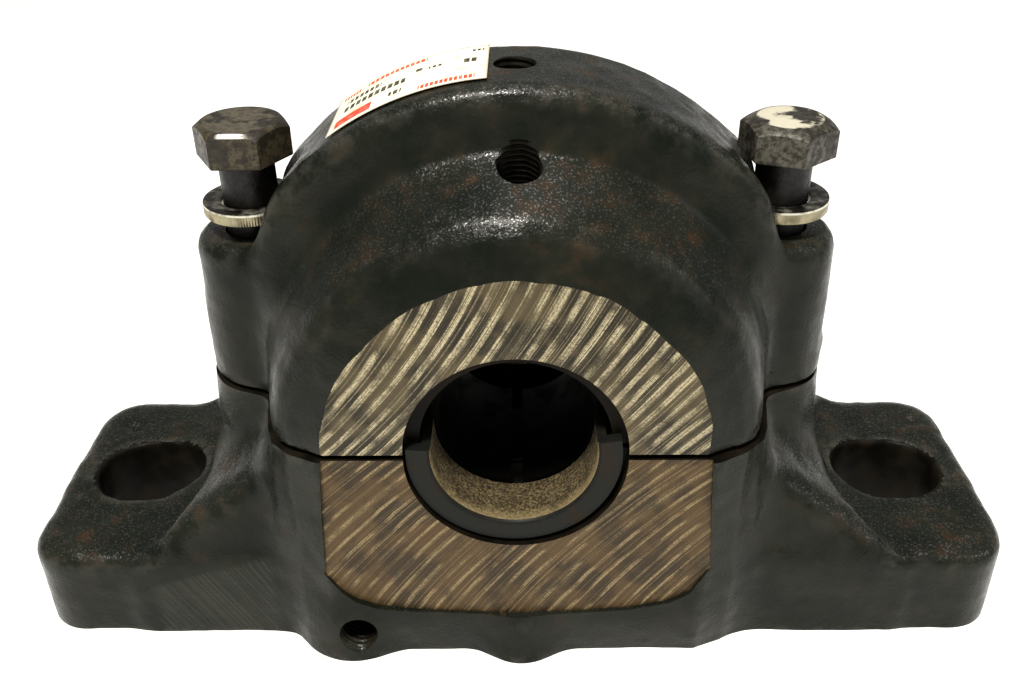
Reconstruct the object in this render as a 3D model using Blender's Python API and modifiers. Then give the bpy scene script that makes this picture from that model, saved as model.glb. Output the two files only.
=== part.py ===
"""Split pillow-block housing with a double-row spherical roller bearing on an adapter sleeve.

Row frame: X along the feet, Y along the shaft (-Y is the machined end with the drain boss),
Z up, origin at the bottom centre of the base.  Sizes are in millimetres here and become metres
through MM.
"""
import math

import bmesh
import bpy
from mathutils import Matrix, Vector

MM = 0.001

# ---------------------------------------------------------------- driving dimensions (mm)
CENTRE_HEIGHT = 60.0        # floor to shaft axis, which is also the base's split face
PARTING_GAP = 1.5           # the cap stands this far above the base
SHAFT_D = 36.5
FIT = 0.3                   # gap left between pieces that touch

FOOT_LENGTH = 246.0
FOOT_DEPTH = 69.0
FOOT_THICK = 26.0
FOOT_CORNER = 12.0
SLOT_X = 99.5
SLOT_LENGTH = 28.0
SLOT_WIDTH = 23.0

END_FACE_Y = 41.5           # half the length over the two machined end faces
BODY_HALF_X = 59.0
DOME_R = 74.5               # top of the barrel band, from the shaft axis
BOLT_X = 61.2
BASE_LUG_R = 15.0
CAP_LUG_R = 14.0
CAP_LUG_TOP = 97.5
POCKET_R = 13.6             # spot-face pocket above each cap lug

SEAT_R = 42.8               # bearing seat in the housing
SEAT_HALF = 15.0
CAVITY_R = 39.0             # grease space beside the bearing
CAVITY_HALF = 27.0
SEAL_BORE_R = 21.6
RECESS_R = 25.0             # counterbore for the seal liner's flange
RECESS_DEPTH = 4.2

BEARING_R = 42.5
BEARING_HALF = 11.5
RACE_R = 38.4               # spherical raceway of the outer ring
ROLLER_R = 5.2
ROLLER_HALF = 4.4
ROLLER_COUNT = 16
CONTACT_ANGLE = math.radians(10.0)
RACE_GAP = 0.3
ROLLER_CENTRE = RACE_R - ROLLER_R - RACE_GAP     # distance of a roller's middle from the centre
INNER_BORE_R = 22.5         # small end of the 1:12 taper, at -Y
TAPER = 1.0 / 24.0          # growth of the radius per millimetre along +Y

BOLT_R = 6.35
BOLT_LENGTH = 70.0
HEAD_BOTTOM = 115.2         # the cap bolts are backed out
HEAD_HEIGHT = 8.3
HEAD_R = 11.0               # to the hexagon's corners
WASHER_BOTTOM = 102.3
WASHER_THICK = 3.0
WASHER_R = 11.1
DOWEL_R = 3.0
DOWELS = ((-48.5, -21.5), (48.5, 21.5))     # x and y of the two pins in the split face

ROUND_STEPS = 44            # sides of the large turned pieces
ROLLER_STEPS = 10
AXIS = CENTRE_HEIGHT
CAP_AXIS = CENTRE_HEIGHT + PARTING_GAP

# outer radius of the castings round the shaft, against the distance from the mid-plane
DOME_PROFILE = (
    (DOME_R, 0.0), (DOME_R, 12.0), (72.6, 14.4), (69.0, 15.6), (63.0, 16.2), (60.6, 17.6),
    (59.3, 21.0), (57.5, 27.0), (55.6, 32.0), (53.6, 35.2), (50.7, 37.9), (43.3, END_FACE_Y),
)


# ---------------------------------------------------------------- scene
def clear_scene():
    for obj in list(bpy.data.objects):
        bpy.data.objects.remove(obj, do_unlink=True)


clear_scene()
PARTS = bpy.data.collections.new("split_bearing_housing")
CUTTERS = bpy.data.collections.new("cutters")
bpy.context.scene.collection.children.link(PARTS)
bpy.context.scene.collection.children.link(CUTTERS)


def material(name, colour, roughness, metallic):
    mat = bpy.data.materials.new(name)
    mat.use_nodes = True
    shader = mat.node_tree.nodes["Principled BSDF"]
    shader.inputs["Base Color"].default_value = (*colour, 1.0)
    shader.inputs["Roughness"].default_value = roughness
    shader.inputs["Metallic"].default_value = metallic
    return mat


CASTING = material("painted_cast_iron", (0.07, 0.075, 0.065), 0.55, 0.0)
BOLT_STEEL = material("bolt_steel", (0.10, 0.09, 0.075), 0.5, 0.8)
SPRING_STEEL = material("spring_steel", (0.52, 0.49, 0.40), 0.35, 1.0)
LINER_IRON = material("liner_iron", (0.22, 0.21, 0.17), 0.6, 0.6)
BEARING_STEEL = material("bearing_steel", (0.55, 0.55, 0.53), 0.25, 1.0)
CAGE_BRASS = material("cage_brass", (0.55, 0.42, 0.18), 0.35, 1.0)
SLEEVE_STEEL = material("sleeve_steel", (0.40, 0.40, 0.39), 0.35, 1.0)
LABEL_PAPER = material("label_paper", (0.85, 0.82, 0.70), 0.8, 0.0)


# ---------------------------------------------------------------- modelling helpers
def as_cutter(obj):
    obj.hide_render = True
    obj.display_type = "WIRE"
    return obj


def add_object(name, mesh, mat=None, cutter=False):
    obj = bpy.data.objects.new(name, mesh)
    (CUTTERS if cutter else PARTS).objects.link(obj)
    if mat:
        mesh.materials.append(mat)
    return as_cutter(obj) if cutter else obj


def mesh_from(bm, name):
    mesh = bpy.data.meshes.new(name)
    bm.to_mesh(mesh)
    bm.free()
    return mesh


def box(name, low, high, mat=None, cutter=True):
    """A block between two corners, in millimetres."""
    low, high = Vector(low) * MM, Vector(high) * MM
    bm = bmesh.new()
    bmesh.ops.create_cube(bm, size=1.0)
    bmesh.ops.scale(bm, vec=high - low, verts=bm.verts)
    bmesh.ops.translate(bm, vec=(high + low) / 2, verts=bm.verts)
    return add_object(name, mesh_from(bm, name), mat, cutter)


def cylinder(name, radius, start, end, mat=None, cutter=True, sides=ROUND_STEPS, top_radius=None, spin=0.0):
    """A round bar or cone from one point to another, in millimetres."""
    start, end = Vector(start) * MM, Vector(end) * MM
    along = end - start
    bm = bmesh.new()
    bmesh.ops.create_cone(
        bm, cap_ends=True, segments=sides, radius1=radius * MM,
        radius2=(radius if top_radius is None else top_radius) * MM, depth=along.length)
    turn = along.to_track_quat("Z", "Y").to_matrix().to_4x4() @ Matrix.Rotation(spin, 4, "Z")
    bmesh.ops.transform(bm, matrix=Matrix.Translation((start + end) / 2) @ turn, verts=bm.verts)
    return add_object(name, mesh_from(bm, name), mat, cutter)


def spin_round(obj, steps):
    """Turns the object's profile a full turn about its own Z axis."""
    screw = obj.modifiers.new("turn", "SCREW")
    screw.axis = "Z"
    screw.steps = steps
    screw.render_steps = steps
    screw.use_merge_vertices = True
    screw.merge_threshold = 0.00001
    return obj


def turned(name, profile, centre=(0, 0, AXIS), mat=None, cutter=False, steps=ROUND_STEPS, closed=True):
    """A (radius, y) profile turned about the shaft line through centre.

    A closed profile runs down its outer side, from the largest y to the smallest, then back up
    inside.  An open one starts and ends on the axis.
    """
    mesh = bpy.data.meshes.new(name)
    points = [(radius * MM, 0.0, y * MM) for radius, y in profile]
    edges = [(i, i + 1) for i in range(len(points) - 1)]
    mesh.from_pydata(points, edges + ([(len(points) - 1, 0)] if closed else []), [])
    obj = add_object(name, mesh, mat, cutter)
    obj.location = Vector(centre) * MM
    obj.rotation_euler = (-math.pi / 2, 0.0, 0.0)
    return spin_round(obj, steps)


def turned_solid(name, half_profile, centre, mat=None, cutter=True, steps=ROUND_STEPS):
    """A solid of revolution, the same on both sides of the mid-plane, with no hole on its axis."""
    outer = [(r, y) for r, y in reversed(half_profile)] + [(r, -y) for r, y in half_profile if y > 0]
    end = half_profile[-1][1]
    return turned(name, [(0.0, end)] + outer + [(0.0, -end)], centre, mat, cutter, steps, closed=False)


def plate(name, outline, low_z, high_z, mat=None, cutter=False):
    """A flat outline in X and Y, extruded between two heights, as a mesh."""
    curve = bpy.data.curves.new(name, "CURVE")
    curve.dimensions = "2D"
    curve.fill_mode = "BOTH"
    curve.extrude = (high_z - low_z) / 2 * MM
    spline = curve.splines.new("POLY")
    spline.points.add(len(outline) - 1)
    for point, (x, y) in zip(spline.points, outline):
        point.co = (x * MM, y * MM, 0.0, 1.0)
    spline.use_cyclic_u = True
    source = bpy.data.objects.new(name + "_outline", curve)
    bpy.context.scene.collection.objects.link(source)
    source.location = (0.0, 0.0, (high_z + low_z) / 2 * MM)
    bpy.context.view_layer.update()
    evaluated = source.evaluated_get(bpy.context.evaluated_depsgraph_get())
    mesh = bpy.data.meshes.new_from_object(evaluated)
    mesh.transform(source.matrix_world)
    bpy.data.objects.remove(source, do_unlink=True)
    bm = bmesh.new()
    bm.from_mesh(mesh)
    bmesh.ops.remove_doubles(bm, verts=bm.verts, dist=0.00001)
    bmesh.ops.recalc_face_normals(bm, faces=bm.faces)
    bm.to_mesh(mesh)
    bm.free()
    return add_object(name, mesh, mat, cutter)


def combine(target, tool, operation):
    step = target.modifiers.new(tool.name, "BOOLEAN")
    step.operation = operation
    step.solver = "EXACT"
    step.object = tool
    if tool.name not in CUTTERS.objects:
        PARTS.objects.unlink(tool)
        CUTTERS.objects.link(tool)
    as_cutter(tool)
    return target


def join(target, *tools):
    for tool in tools:
        combine(target, tool, "UNION")
    return target


def cut(target, *tools):
    for tool in tools:
        combine(target, tool, "DIFFERENCE")
    return target


def keep(target, *tools):
    for tool in tools:
        combine(target, tool, "INTERSECT")
    return target


def rounded_rectangle(half_x, half_y, radius, centre_x=0.0, steps=6):
    """Corner points of a rounded rectangle, each corner a quarter circle."""
    points = []
    for quarter, (sx, sy) in enumerate(((1, 1), (-1, 1), (-1, -1), (1, -1))):
        for step in range(steps + 1):
            angle = (quarter + step / steps) * math.pi / 2
            points.append((
                centre_x + sx * (half_x - radius) + radius * math.cos(angle),
                sy * (half_y - radius) + radius * math.sin(angle)))
    return points


def body_outline():
    """The castings' outline at the split: the dome's own profile, clipped at the body's width."""
    side = [(min(radius, BODY_HALF_X), y) for radius, y in DOME_PROFILE if y > 16.0]
    side.insert(0, (BODY_HALF_X, 0.0))
    front = [(x, -y) for x, y in side]
    back = [(x, y) for x, y in reversed(side)]
    right = front[:0:-1] + back[::-1]
    left = [(-x, y) for x, y in reversed(right)]
    return right + left


# ---------------------------------------------------------------- the bored housing
def bore_profile():
    """Half profile of the machined inside, from the mid-plane to past the end face."""
    return (
        (SEAT_R, 0.0), (SEAT_R, SEAT_HALF), (CAVITY_R, SEAT_HALF + 0.01), (CAVITY_R, CAVITY_HALF),
        (SEAL_BORE_R, CAVITY_HALF + 0.01), (SEAL_BORE_R, END_FACE_Y - RECESS_DEPTH),
        (RECESS_R, END_FACE_Y - RECESS_DEPTH + 0.01), (RECESS_R, END_FACE_Y + 8.0))


def housing_base():
    base = plate("housing_base", body_outline(), 0.0, CENTRE_HEIGHT, CASTING)
    join(base, plate("foot_slab", rounded_rectangle(FOOT_LENGTH / 2, FOOT_DEPTH / 2, FOOT_CORNER),
                     0.0, FOOT_THICK))
    join(base, plate("front_pad", rounded_rectangle(54.0, 42.2, 12.0), 0.0, 13.0))
    for side in (-1, 1):
        join(base, cylinder("base_lug", BASE_LUG_R + 1.0, (side * BOLT_X, 0, 0),
                            (side * BOLT_X, 0, CENTRE_HEIGHT), top_radius=BASE_LUG_R, sides=32))
    for end in (-1, 1):
        join(base, cylinder("centre_lobe", 11.0, (1.0, end * 35.4, 0), (1.0, end * 35.4, 13.5),
                            top_radius=7.5, sides=24))
    join(base, cylinder("drain_boss", 10.5, (-38.8, -34.6, 0), (-38.8, -34.6, 17.0), top_radius=8.0, sides=24))
    cut(base, turned_solid("base_bore", bore_profile(), (0, 0, AXIS)))
    for side in (-1, 1):
        cut(base, plate("foot_slot", rounded_rectangle(
            SLOT_LENGTH / 2, SLOT_WIDTH / 2, SLOT_WIDTH / 2 - 0.01, side * SLOT_X), -5.0, 40.0))
        cut(base, cylinder("tapped_hole", BOLT_R + FIT, (side * BOLT_X, 0, 26.0),
                           (side * BOLT_X, 0, 70.0), sides=24))
    cut(base, cylinder("drain_hole", 4.9, (-38.8, -60, 8.3), (-38.8, -22, 8.3), sides=24))
    for x, y in DOWELS:
        cut(base, cylinder("dowel_hole", DOWEL_R + FIT, (x, y, 48.0), (x, y, 70.0), sides=16))
    return base


def housing_cap():
    cap = turned_solid("housing_cap", DOME_PROFILE, (0, 0, CAP_AXIS), CASTING, cutter=False, steps=64)
    keep(cap, box("cap_limits", (-BODY_HALF_X, -60, CAP_AXIS), (BODY_HALF_X, 60, 160)))
    for side in (-1, 1):
        join(cap, cylinder("cap_lug", CAP_LUG_R + 0.6, (side * BOLT_X, 0, CAP_AXIS),
                           (side * BOLT_X, 0, CAP_LUG_TOP), top_radius=CAP_LUG_R, sides=32))
        cut(cap, cylinder("spot_pocket", POCKET_R, (side * BOLT_X, 0, CAP_LUG_TOP),
                          (side * BOLT_X, 0, 160), sides=32))
        cut(cap, cylinder("bolt_hole", BOLT_R + 0.65, (side * BOLT_X, 0, 50),
                          (side * BOLT_X, 0, 110), sides=24))
    cut(cap, turned_solid("cap_bore", bore_profile(), (0, 0, CAP_AXIS)))
    chamber = turned("grease_chamber", ((62, 6), (62, -6), (40, -6), (40, 6)), (0, 0, CAP_AXIS), cutter=True)
    keep(chamber, box("chamber_limits", (-34, -20, CAP_AXIS + 15), (34, 20, 160)))
    cut(cap, chamber)
    cut(cap, cylinder("top_port", 4.7, (0, 0, 115), (0, 0, 150), sides=24))
    slope = math.radians(16.0)
    mouth = Vector((1.0, -22.0, 119.9))
    inward = Vector((0.0, math.sin(slope), -math.cos(slope)))
    cut(cap, cylinder("shoulder_port", 5.0, mouth - 12 * inward, mouth + 24 * inward, sides=24))
    for x, y in DOWELS:
        cut(cap, cylinder("cap_dowel_hole", DOWEL_R + FIT, (x, y, 50.0), (x, y, 73.0), sides=16))
    return cap


# ---------------------------------------------------------------- fasteners
def place_origin(obj, x, y, z):
    """Puts the object's origin on its joint's axis and leaves its shape where it is."""
    origin = Vector((x, y, z)) * MM
    obj.data.transform(Matrix.Translation(-origin))
    obj.location = origin
    return obj


def cap_bolt(name, side, spin):
    x = side * BOLT_X
    bolt = cylinder(name, HEAD_R, (x, 0, HEAD_BOTTOM), (x, 0, HEAD_BOTTOM + HEAD_HEIGHT), BOLT_STEEL,
                    cutter=False, sides=6, spin=spin)
    place_origin(bolt, x, 0.0, HEAD_BOTTOM)
    return join(bolt, cylinder(name + "_shank", BOLT_R, (x, 0, HEAD_BOTTOM - BOLT_LENGTH),
                               (x, 0, HEAD_BOTTOM + 2), sides=24))


def lock_washer(name, side):
    x = side * BOLT_X
    top = WASHER_BOTTOM + WASHER_THICK
    washer = cylinder(name, WASHER_R, (x, 0, WASHER_BOTTOM), (x, 0, top), SPRING_STEEL, cutter=False, sides=32)
    place_origin(washer, x, 0.0, WASHER_BOTTOM)
    cut(washer, cylinder(name + "_eye", BOLT_R + 0.4, (x, 0, WASHER_BOTTOM - 2), (x, 0, top + 2), sides=24))
    low = (x + 4, 0.6, WASHER_BOTTOM - 2)
    high = (x + 14, 2.0, top + 2)
    return cut(washer, box(name + "_split", low, high))


def dowel(name, x, y):
    return cylinder(name, DOWEL_R, (x, y, 48.6), (x, y, 70.0), SLEEVE_STEEL, cutter=False, sides=16)


# ---------------------------------------------------------------- seal liners
def seal_liner(name, end, upper):
    """Half of a flanged liner: the flange sits in the end recess, the barrel in the seal bore."""
    flange_r = RECESS_R - FIT
    barrel_r = SEAL_BORE_R - FIT
    inner_r = 18.7
    face, step, tail = END_FACE_Y - 0.9, END_FACE_Y - RECESS_DEPTH + FIT, CAVITY_HALF - 0.3
    profile = [(flange_r, face), (flange_r, step), (barrel_r, step - 0.01), (barrel_r, tail),
               (inner_r, tail), (inner_r, face)]
    if end < 0:
        profile = [(radius, -y) for radius, y in (profile[3], profile[2], profile[1], profile[0],
                                                  profile[5], profile[4])]
    axis = CAP_AXIS if upper else AXIS
    liner = turned(name, profile, (0, 0, axis), LINER_IRON)
    if upper:
        return keep(liner, box(name + "_limits", (-40, -60, axis), (40, 60, 120)))
    return keep(liner, box(name + "_limits", (-40, -60, 0), (40, 60, axis)))


# ---------------------------------------------------------------- the spherical roller bearing
def roller_radius(along):
    """A roller is a barrel: its radius falls with the square of the distance from its middle."""
    return ROLLER_R - along * along / (2.0 * (RACE_R - 1.0))


def row_point(along, outward, row=1):
    """(radius, y) of a point given along a roller's axis and outward across it."""
    cos_a, sin_a = math.cos(CONTACT_ANGLE), math.sin(CONTACT_ANGLE)
    radius = ROLLER_CENTRE * cos_a - along * sin_a + outward * cos_a
    y = ROLLER_CENTRE * sin_a + along * cos_a + outward * sin_a
    return radius, row * y


def outer_ring():
    steps = 6
    race = [(math.sqrt(RACE_R ** 2 - y * y), y) for y in
            (BEARING_HALF * (2.0 * i / steps - 1.0) for i in range(steps + 1))]
    profile = [(BEARING_R, BEARING_HALF), (BEARING_R, 2.2), (BEARING_R - 1.4, 1.0), (BEARING_R - 1.4, -1.0),
               (BEARING_R, -2.2), (BEARING_R, -BEARING_HALF)] + race
    return turned("outer_ring", profile, mat=BEARING_STEEL)


def inner_ring():
    """Two raceways that follow the rollers' undersides, ribs at both ends, a 1:12 tapered bore."""
    gap = RACE_GAP + 0.05
    stations = (4.8, 2.2, 0.0, -2.2, -4.6)
    race = []
    for along in stations:
        radius, y = row_point(along, -roller_radius(min(abs(along), ROLLER_HALF)) - gap)
        race.append((radius, y))
    half = [(29.4, BEARING_HALF), (29.4, 10.6)] + race
    profile = half + [(race[-1][0], -race[-1][1])] + [(r, -y) for r, y in reversed(half)][1:]
    end_r = INNER_BORE_R + TAPER * 2 * BEARING_HALF
    profile += [(INNER_BORE_R, -BEARING_HALF), (end_r, BEARING_HALF)]
    return turned("inner_ring", profile, mat=BEARING_STEEL)


def guide_ring():
    return turned("guide_ring", ((34.2, 1.15), (34.2, -1.15), (29.4, -0.4), (29.4, 0.4)), mat=BEARING_STEEL)


def roller(name, row, index):
    """One barrel roller, turned about its own axis and set at its place in the row."""
    mesh = bpy.data.meshes.new(name)
    stations = [ROLLER_HALF * k for k in (1.0, 0.55, 0.0, -0.55, -1.0)]
    points = [(0.0, 0.0, ROLLER_HALF * MM)]
    points += [(roller_radius(s) * MM, 0.0, s * MM) for s in stations]
    points.append((0.0, 0.0, -ROLLER_HALF * MM))
    mesh.from_pydata(points, [(i, i + 1) for i in range(len(points) - 1)], [])
    obj = spin_round(add_object(name, mesh, BEARING_STEEL), ROLLER_STEPS)
    obj.matrix_world = roller_place(row, index)
    return obj


def roller_place(row, index):
    """Matrix that carries a roller from the origin, axis along Z, to its place in the bearing."""
    radius, y = row_point(0.0, 0.0, row)
    offset = 0.0 if row > 0 else 0.5
    angle = 2 * math.pi * (index + offset) / ROLLER_COUNT
    out = Vector((math.sin(angle), 0.0, math.cos(angle)))
    axis = Vector((0, row * math.cos(CONTACT_ANGLE), 0)) - math.sin(CONTACT_ANGLE) * out
    place = out * radius + Vector((0.0, y, AXIS))
    return Matrix.Translation(place * MM) @ axis.to_track_quat("Z", "Y").to_matrix().to_4x4()


def cage(name, row):
    """A comb cage: a ring outside the rollers' outer ends, with a bar between each two rollers."""
    outer_end = BEARING_HALF - 0.15
    inner_end = 2.6
    low = row_point(0, 0)[0]
    slope = math.tan(CONTACT_ANGLE)
    middle_y = row_point(0, 0)[1]

    def centre_r(y):
        return low - (y - middle_y) * slope

    profile = [(centre_r(outer_end) + 1.5, outer_end), (centre_r(inner_end) + 1.3, inner_end),
               (centre_r(inner_end) - 1.3, inner_end), (centre_r(outer_end) - 1.3, outer_end)]
    if row < 0:
        profile = [(r, -y) for r, y in (profile[1], profile[0], profile[3], profile[2])]
    obj = turned(name, profile, mat=CAGE_BRASS)
    pockets = bmesh.new()
    for index in range(ROLLER_COUNT):
        made = bmesh.ops.create_cone(
            pockets, cap_ends=True, segments=12, radius1=(ROLLER_R + 0.35) * MM,
            radius2=(ROLLER_R + 0.35) * MM, depth=(2 * ROLLER_HALF + 8.0) * MM)
        lift = Matrix.Translation((0, 0, -(4.0 - 0.35) * MM))
        bmesh.ops.transform(pockets, matrix=roller_place(row, index) @ lift, verts=made["verts"])
    return cut(obj, add_object(name + "_pockets", mesh_from(pockets, name + "_pockets"), cutter=True))


def locating_ring(name, end):
    """A C-shaped ring that fills the seat beside the outer ring."""
    near, far = BEARING_HALF + FIT, SEAT_HALF - FIT
    profile = [(BEARING_R, far), (BEARING_R, near), (38.6, near), (38.6, far)]
    if end < 0:
        profile = [(r, -y) for r, y in (profile[1], profile[0], profile[3], profile[2])]
    ring = turned(name, profile, mat=SLEEVE_STEEL)
    return cut(ring, box(name + "_gap", (-5, -40, AXIS + 30), (5, 40, AXIS + 50)))


# ---------------------------------------------------------------- adapter sleeve, washer and nut
def adapter_sleeve():
    big_end, small_end = 13.5, -25.5
    def outer(y):
        return INNER_BORE_R - FIT + TAPER * max(0.0, y + BEARING_HALF)
    profile = [(outer(big_end), big_end), (outer(-BEARING_HALF), -BEARING_HALF), (outer(small_end), small_end),
               (SHAFT_D / 2, small_end), (SHAFT_D / 2, big_end)]
    sleeve = turned("adapter_sleeve", profile, mat=SLEEVE_STEEL)
    return cut(sleeve, box("sleeve_slit", (-1.5, -40, AXIS - 30), (1.5, 40, AXIS - 10)))


def tab_washer():
    near, far = -BEARING_HALF - FIT, -BEARING_HALF - FIT - 1.3
    ring = turned("tab_washer", ((29.0, near), (29.0, far), (22.5, far), (22.5, near)), mat=SLEEVE_STEEL)
    tabs = []
    for index in range(10):
        angle = 2 * math.pi * (index + 0.5) / 10
        tab = box("washer_tab", (-2.6, far, 26.0), (2.6, near, 32.4))
        tab.data.transform(Matrix.Translation((0, 0, AXIS * MM)) @ Matrix.Rotation(angle, 4, "Y"))
        tabs.append(tab)
    return join(ring, *tabs)


def lock_nut():
    near, far = -BEARING_HALF - 2 * FIT - 1.3, -24.4
    nut = turned("lock_nut", ((32.0, near - 1.5), (32.0, far + 1.5), (30.8, far), (22.5, far), (22.5, near),
                              (29.0, near)), mat=SLEEVE_STEEL)
    for index in range(4):
        slot = box("nut_slot", (-3.2, far - 2, 29.6), (3.2, near + 0.5, 36.0))
        slot.data.transform(Matrix.Translation((0, 0, AXIS * MM))
                            @ Matrix.Rotation(math.pi / 2 * index + 0.3, 4, "Y"))
        cut(nut, slot)
    return nut


# ---------------------------------------------------------------- the paper label
def paper_label():
    """A rectangle bent round the barrel band, from 4.5 to 34.5 degrees left of the top."""
    columns, radius = 10, DOME_R + FIT
    bm = bmesh.new()
    bmesh.ops.create_grid(bm, x_segments=columns, y_segments=1, size=0.5)
    for vert in bm.verts:
        angle = math.radians(-19.5 + 30.0 * vert.co.x)
        y = 1.0 + 24.0 * vert.co.y
        vert.co = Vector((radius * math.sin(angle), y, CAP_AXIS + radius * math.cos(angle))) * MM
    obj = add_object("paper_label", mesh_from(bm, "paper_label"), LABEL_PAPER)
    thick = obj.modifiers.new("thickness", "SOLIDIFY")
    thick.thickness = 0.25 * MM
    thick.offset = 1.0
    return obj


# ---------------------------------------------------------------- build everything
housing_base()
housing_cap()
cap_bolt("cap_bolt_left", -1, 0.0)
cap_bolt("cap_bolt_right", 1, math.radians(-20.0))
lock_washer("lock_washer_left", -1)
lock_washer("lock_washer_right", 1)
for dowel_name, (dowel_x, dowel_y) in zip(("dowel_front", "dowel_rear"), DOWELS):
    dowel(dowel_name, dowel_x, dowel_y)
seal_liner("front_liner_lower", -1, upper=False)
seal_liner("rear_liner_lower", 1, upper=False)
seal_liner("rear_liner_upper", 1, upper=True)
outer_ring()
inner_ring()
guide_ring()
cage("cage_front", -1)
cage("cage_rear", 1)
for row, row_name in ((-1, "front"), (1, "rear")):
    for number in range(ROLLER_COUNT):
        roller(f"roller_{row_name}_{number + 1:02d}", row, number)
locating_ring("locating_ring_front", -1)
locating_ring("locating_ring_rear", 1)
adapter_sleeve()
tab_washer()
lock_nut()
paper_label()

for part in PARTS.objects:
    part.data.shade_smooth()
    part.data.set_sharp_from_angle(angle=math.radians(30.0))
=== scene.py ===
# %% [markdown]
# # A split bearing housing
#
# The object is a cast-iron pillow block for a shaft.  It is split through the shaft line, two
# hexagon bolts hold the cap, and a spherical roller bearing sits inside.  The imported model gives
# every size and every place, and this lesson gives it its looks.
# The castings come first, because everything else is seen against them.

# %% Load the frame
import math

import bmesh
import bpy
import numpy as np
from mathutils import Matrix, Vector


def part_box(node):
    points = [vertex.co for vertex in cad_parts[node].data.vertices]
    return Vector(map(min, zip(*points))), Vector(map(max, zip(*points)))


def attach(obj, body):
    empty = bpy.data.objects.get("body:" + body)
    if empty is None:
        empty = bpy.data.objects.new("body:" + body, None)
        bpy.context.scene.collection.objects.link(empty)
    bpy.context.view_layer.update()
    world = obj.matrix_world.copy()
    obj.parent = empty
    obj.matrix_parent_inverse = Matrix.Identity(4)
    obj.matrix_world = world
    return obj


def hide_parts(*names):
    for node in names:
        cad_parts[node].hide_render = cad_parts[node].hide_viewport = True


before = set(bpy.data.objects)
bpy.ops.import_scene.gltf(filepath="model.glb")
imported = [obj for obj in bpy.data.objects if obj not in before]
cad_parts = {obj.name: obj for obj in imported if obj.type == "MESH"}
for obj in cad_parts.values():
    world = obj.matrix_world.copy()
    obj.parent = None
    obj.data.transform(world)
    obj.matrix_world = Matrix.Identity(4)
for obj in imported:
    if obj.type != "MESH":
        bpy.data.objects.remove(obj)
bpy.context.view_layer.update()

MM = 0.001

# %% [markdown]
# ## Sizes
#
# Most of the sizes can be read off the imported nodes.  The shaft line is the middle of the outer
# ring, the split face is the top of the base, and each bolt's box gives its place.  A few sizes
# that a box can't give, such as the hole in the foot, are written down here in millimetres.

# %% Read the main sizes from the nodes
def limits(node):
    """Lowest and highest corner of a node, as two arrays in millimetres."""
    low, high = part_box(node)
    return np.array(low) / MM, np.array(high) / MM


RING_LOW, RING_HIGH = limits("outer_ring")
AXIS = float(RING_LOW[2] + RING_HIGH[2]) / 2
BASE_LOW, BASE_HIGH = limits("housing_base")
CAP_LOW, CAP_HIGH = limits("housing_cap")
CAP_AXIS = float(CAP_LOW[2])
FOOT_HALF = float(BASE_HIGH[0])
BOLT_LOW, BOLT_HIGH = limits("cap_bolt_right")
HEAD_TOP = float(BOLT_HIGH[2])
WASHER_LOW, WASHER_HIGH = limits("lock_washer_right")
BOLT_X = float(WASHER_LOW[0] + WASHER_HIGH[0]) / 2

END_FACE = 41.5             # the machined ends, from the mid-plane
FOOT_DEPTH = 34.5
FOOT_TOP = 26.0
SLOT_X, SLOT_HALF, SLOT_R = 99.5, 14.0, 11.5
SIDE = 59.0                 # half the width of the body
LUG_TOP = 97.5
print("shaft line at", AXIS, "cap line at", CAP_AXIS, "bolts at", BOLT_X)

# %% [markdown]
# ## The camera
#
# The camera looks down at the machined end from the front.  Its place is measured from the
# floor point under the middle of the housing.  It is written as three directions, forward,
# right and down, because that says plainly where it looks.

# %% Camera
def aim(pitch, yaw, roll):
    """Rotation of a camera that looks along +Y, dips by pitch, turns by yaw and leans by roll."""
    p, y, r = (math.radians(angle) for angle in (pitch, yaw, roll))
    forward = Vector((math.sin(y) * math.cos(p), math.cos(y) * math.cos(p), -math.sin(p)))
    level = Vector((math.cos(y), -math.sin(y), 0.0))
    down = forward.cross(level)
    right = math.cos(r) * level + math.sin(r) * down
    below = -math.sin(r) * level + math.cos(r) * down
    return Matrix((right, -below, -forward)).transposed()


CAMERA = bpy.data.objects.new("camera", bpy.data.cameras.new("camera"))
bpy.context.scene.collection.objects.link(CAMERA)
CAMERA.data.lens = 36.56
CAMERA.data.sensor_width = 36.0
CAMERA.data.clip_start = 0.01
CAMERA.location = Vector((2.12, -224.9, 204.0)) * MM
CAMERA.rotation_euler = aim(32.13, -0.519, 0.489).to_euler()
bpy.context.scene.camera = CAMERA
bpy.context.scene.view_settings.view_transform = "Standard"
print("camera at", [round(v, 3) for v in CAMERA.location])

# %% [markdown]
# ## Words for making a finish
#
# A finish is a shader with a few patterns behind it.  All patterns here read the object's own
# coordinates, so they are carved through the metal like grain through wood.  This small class
# gives short words for the nodes, so that each finish can be read as a recipe.

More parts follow.
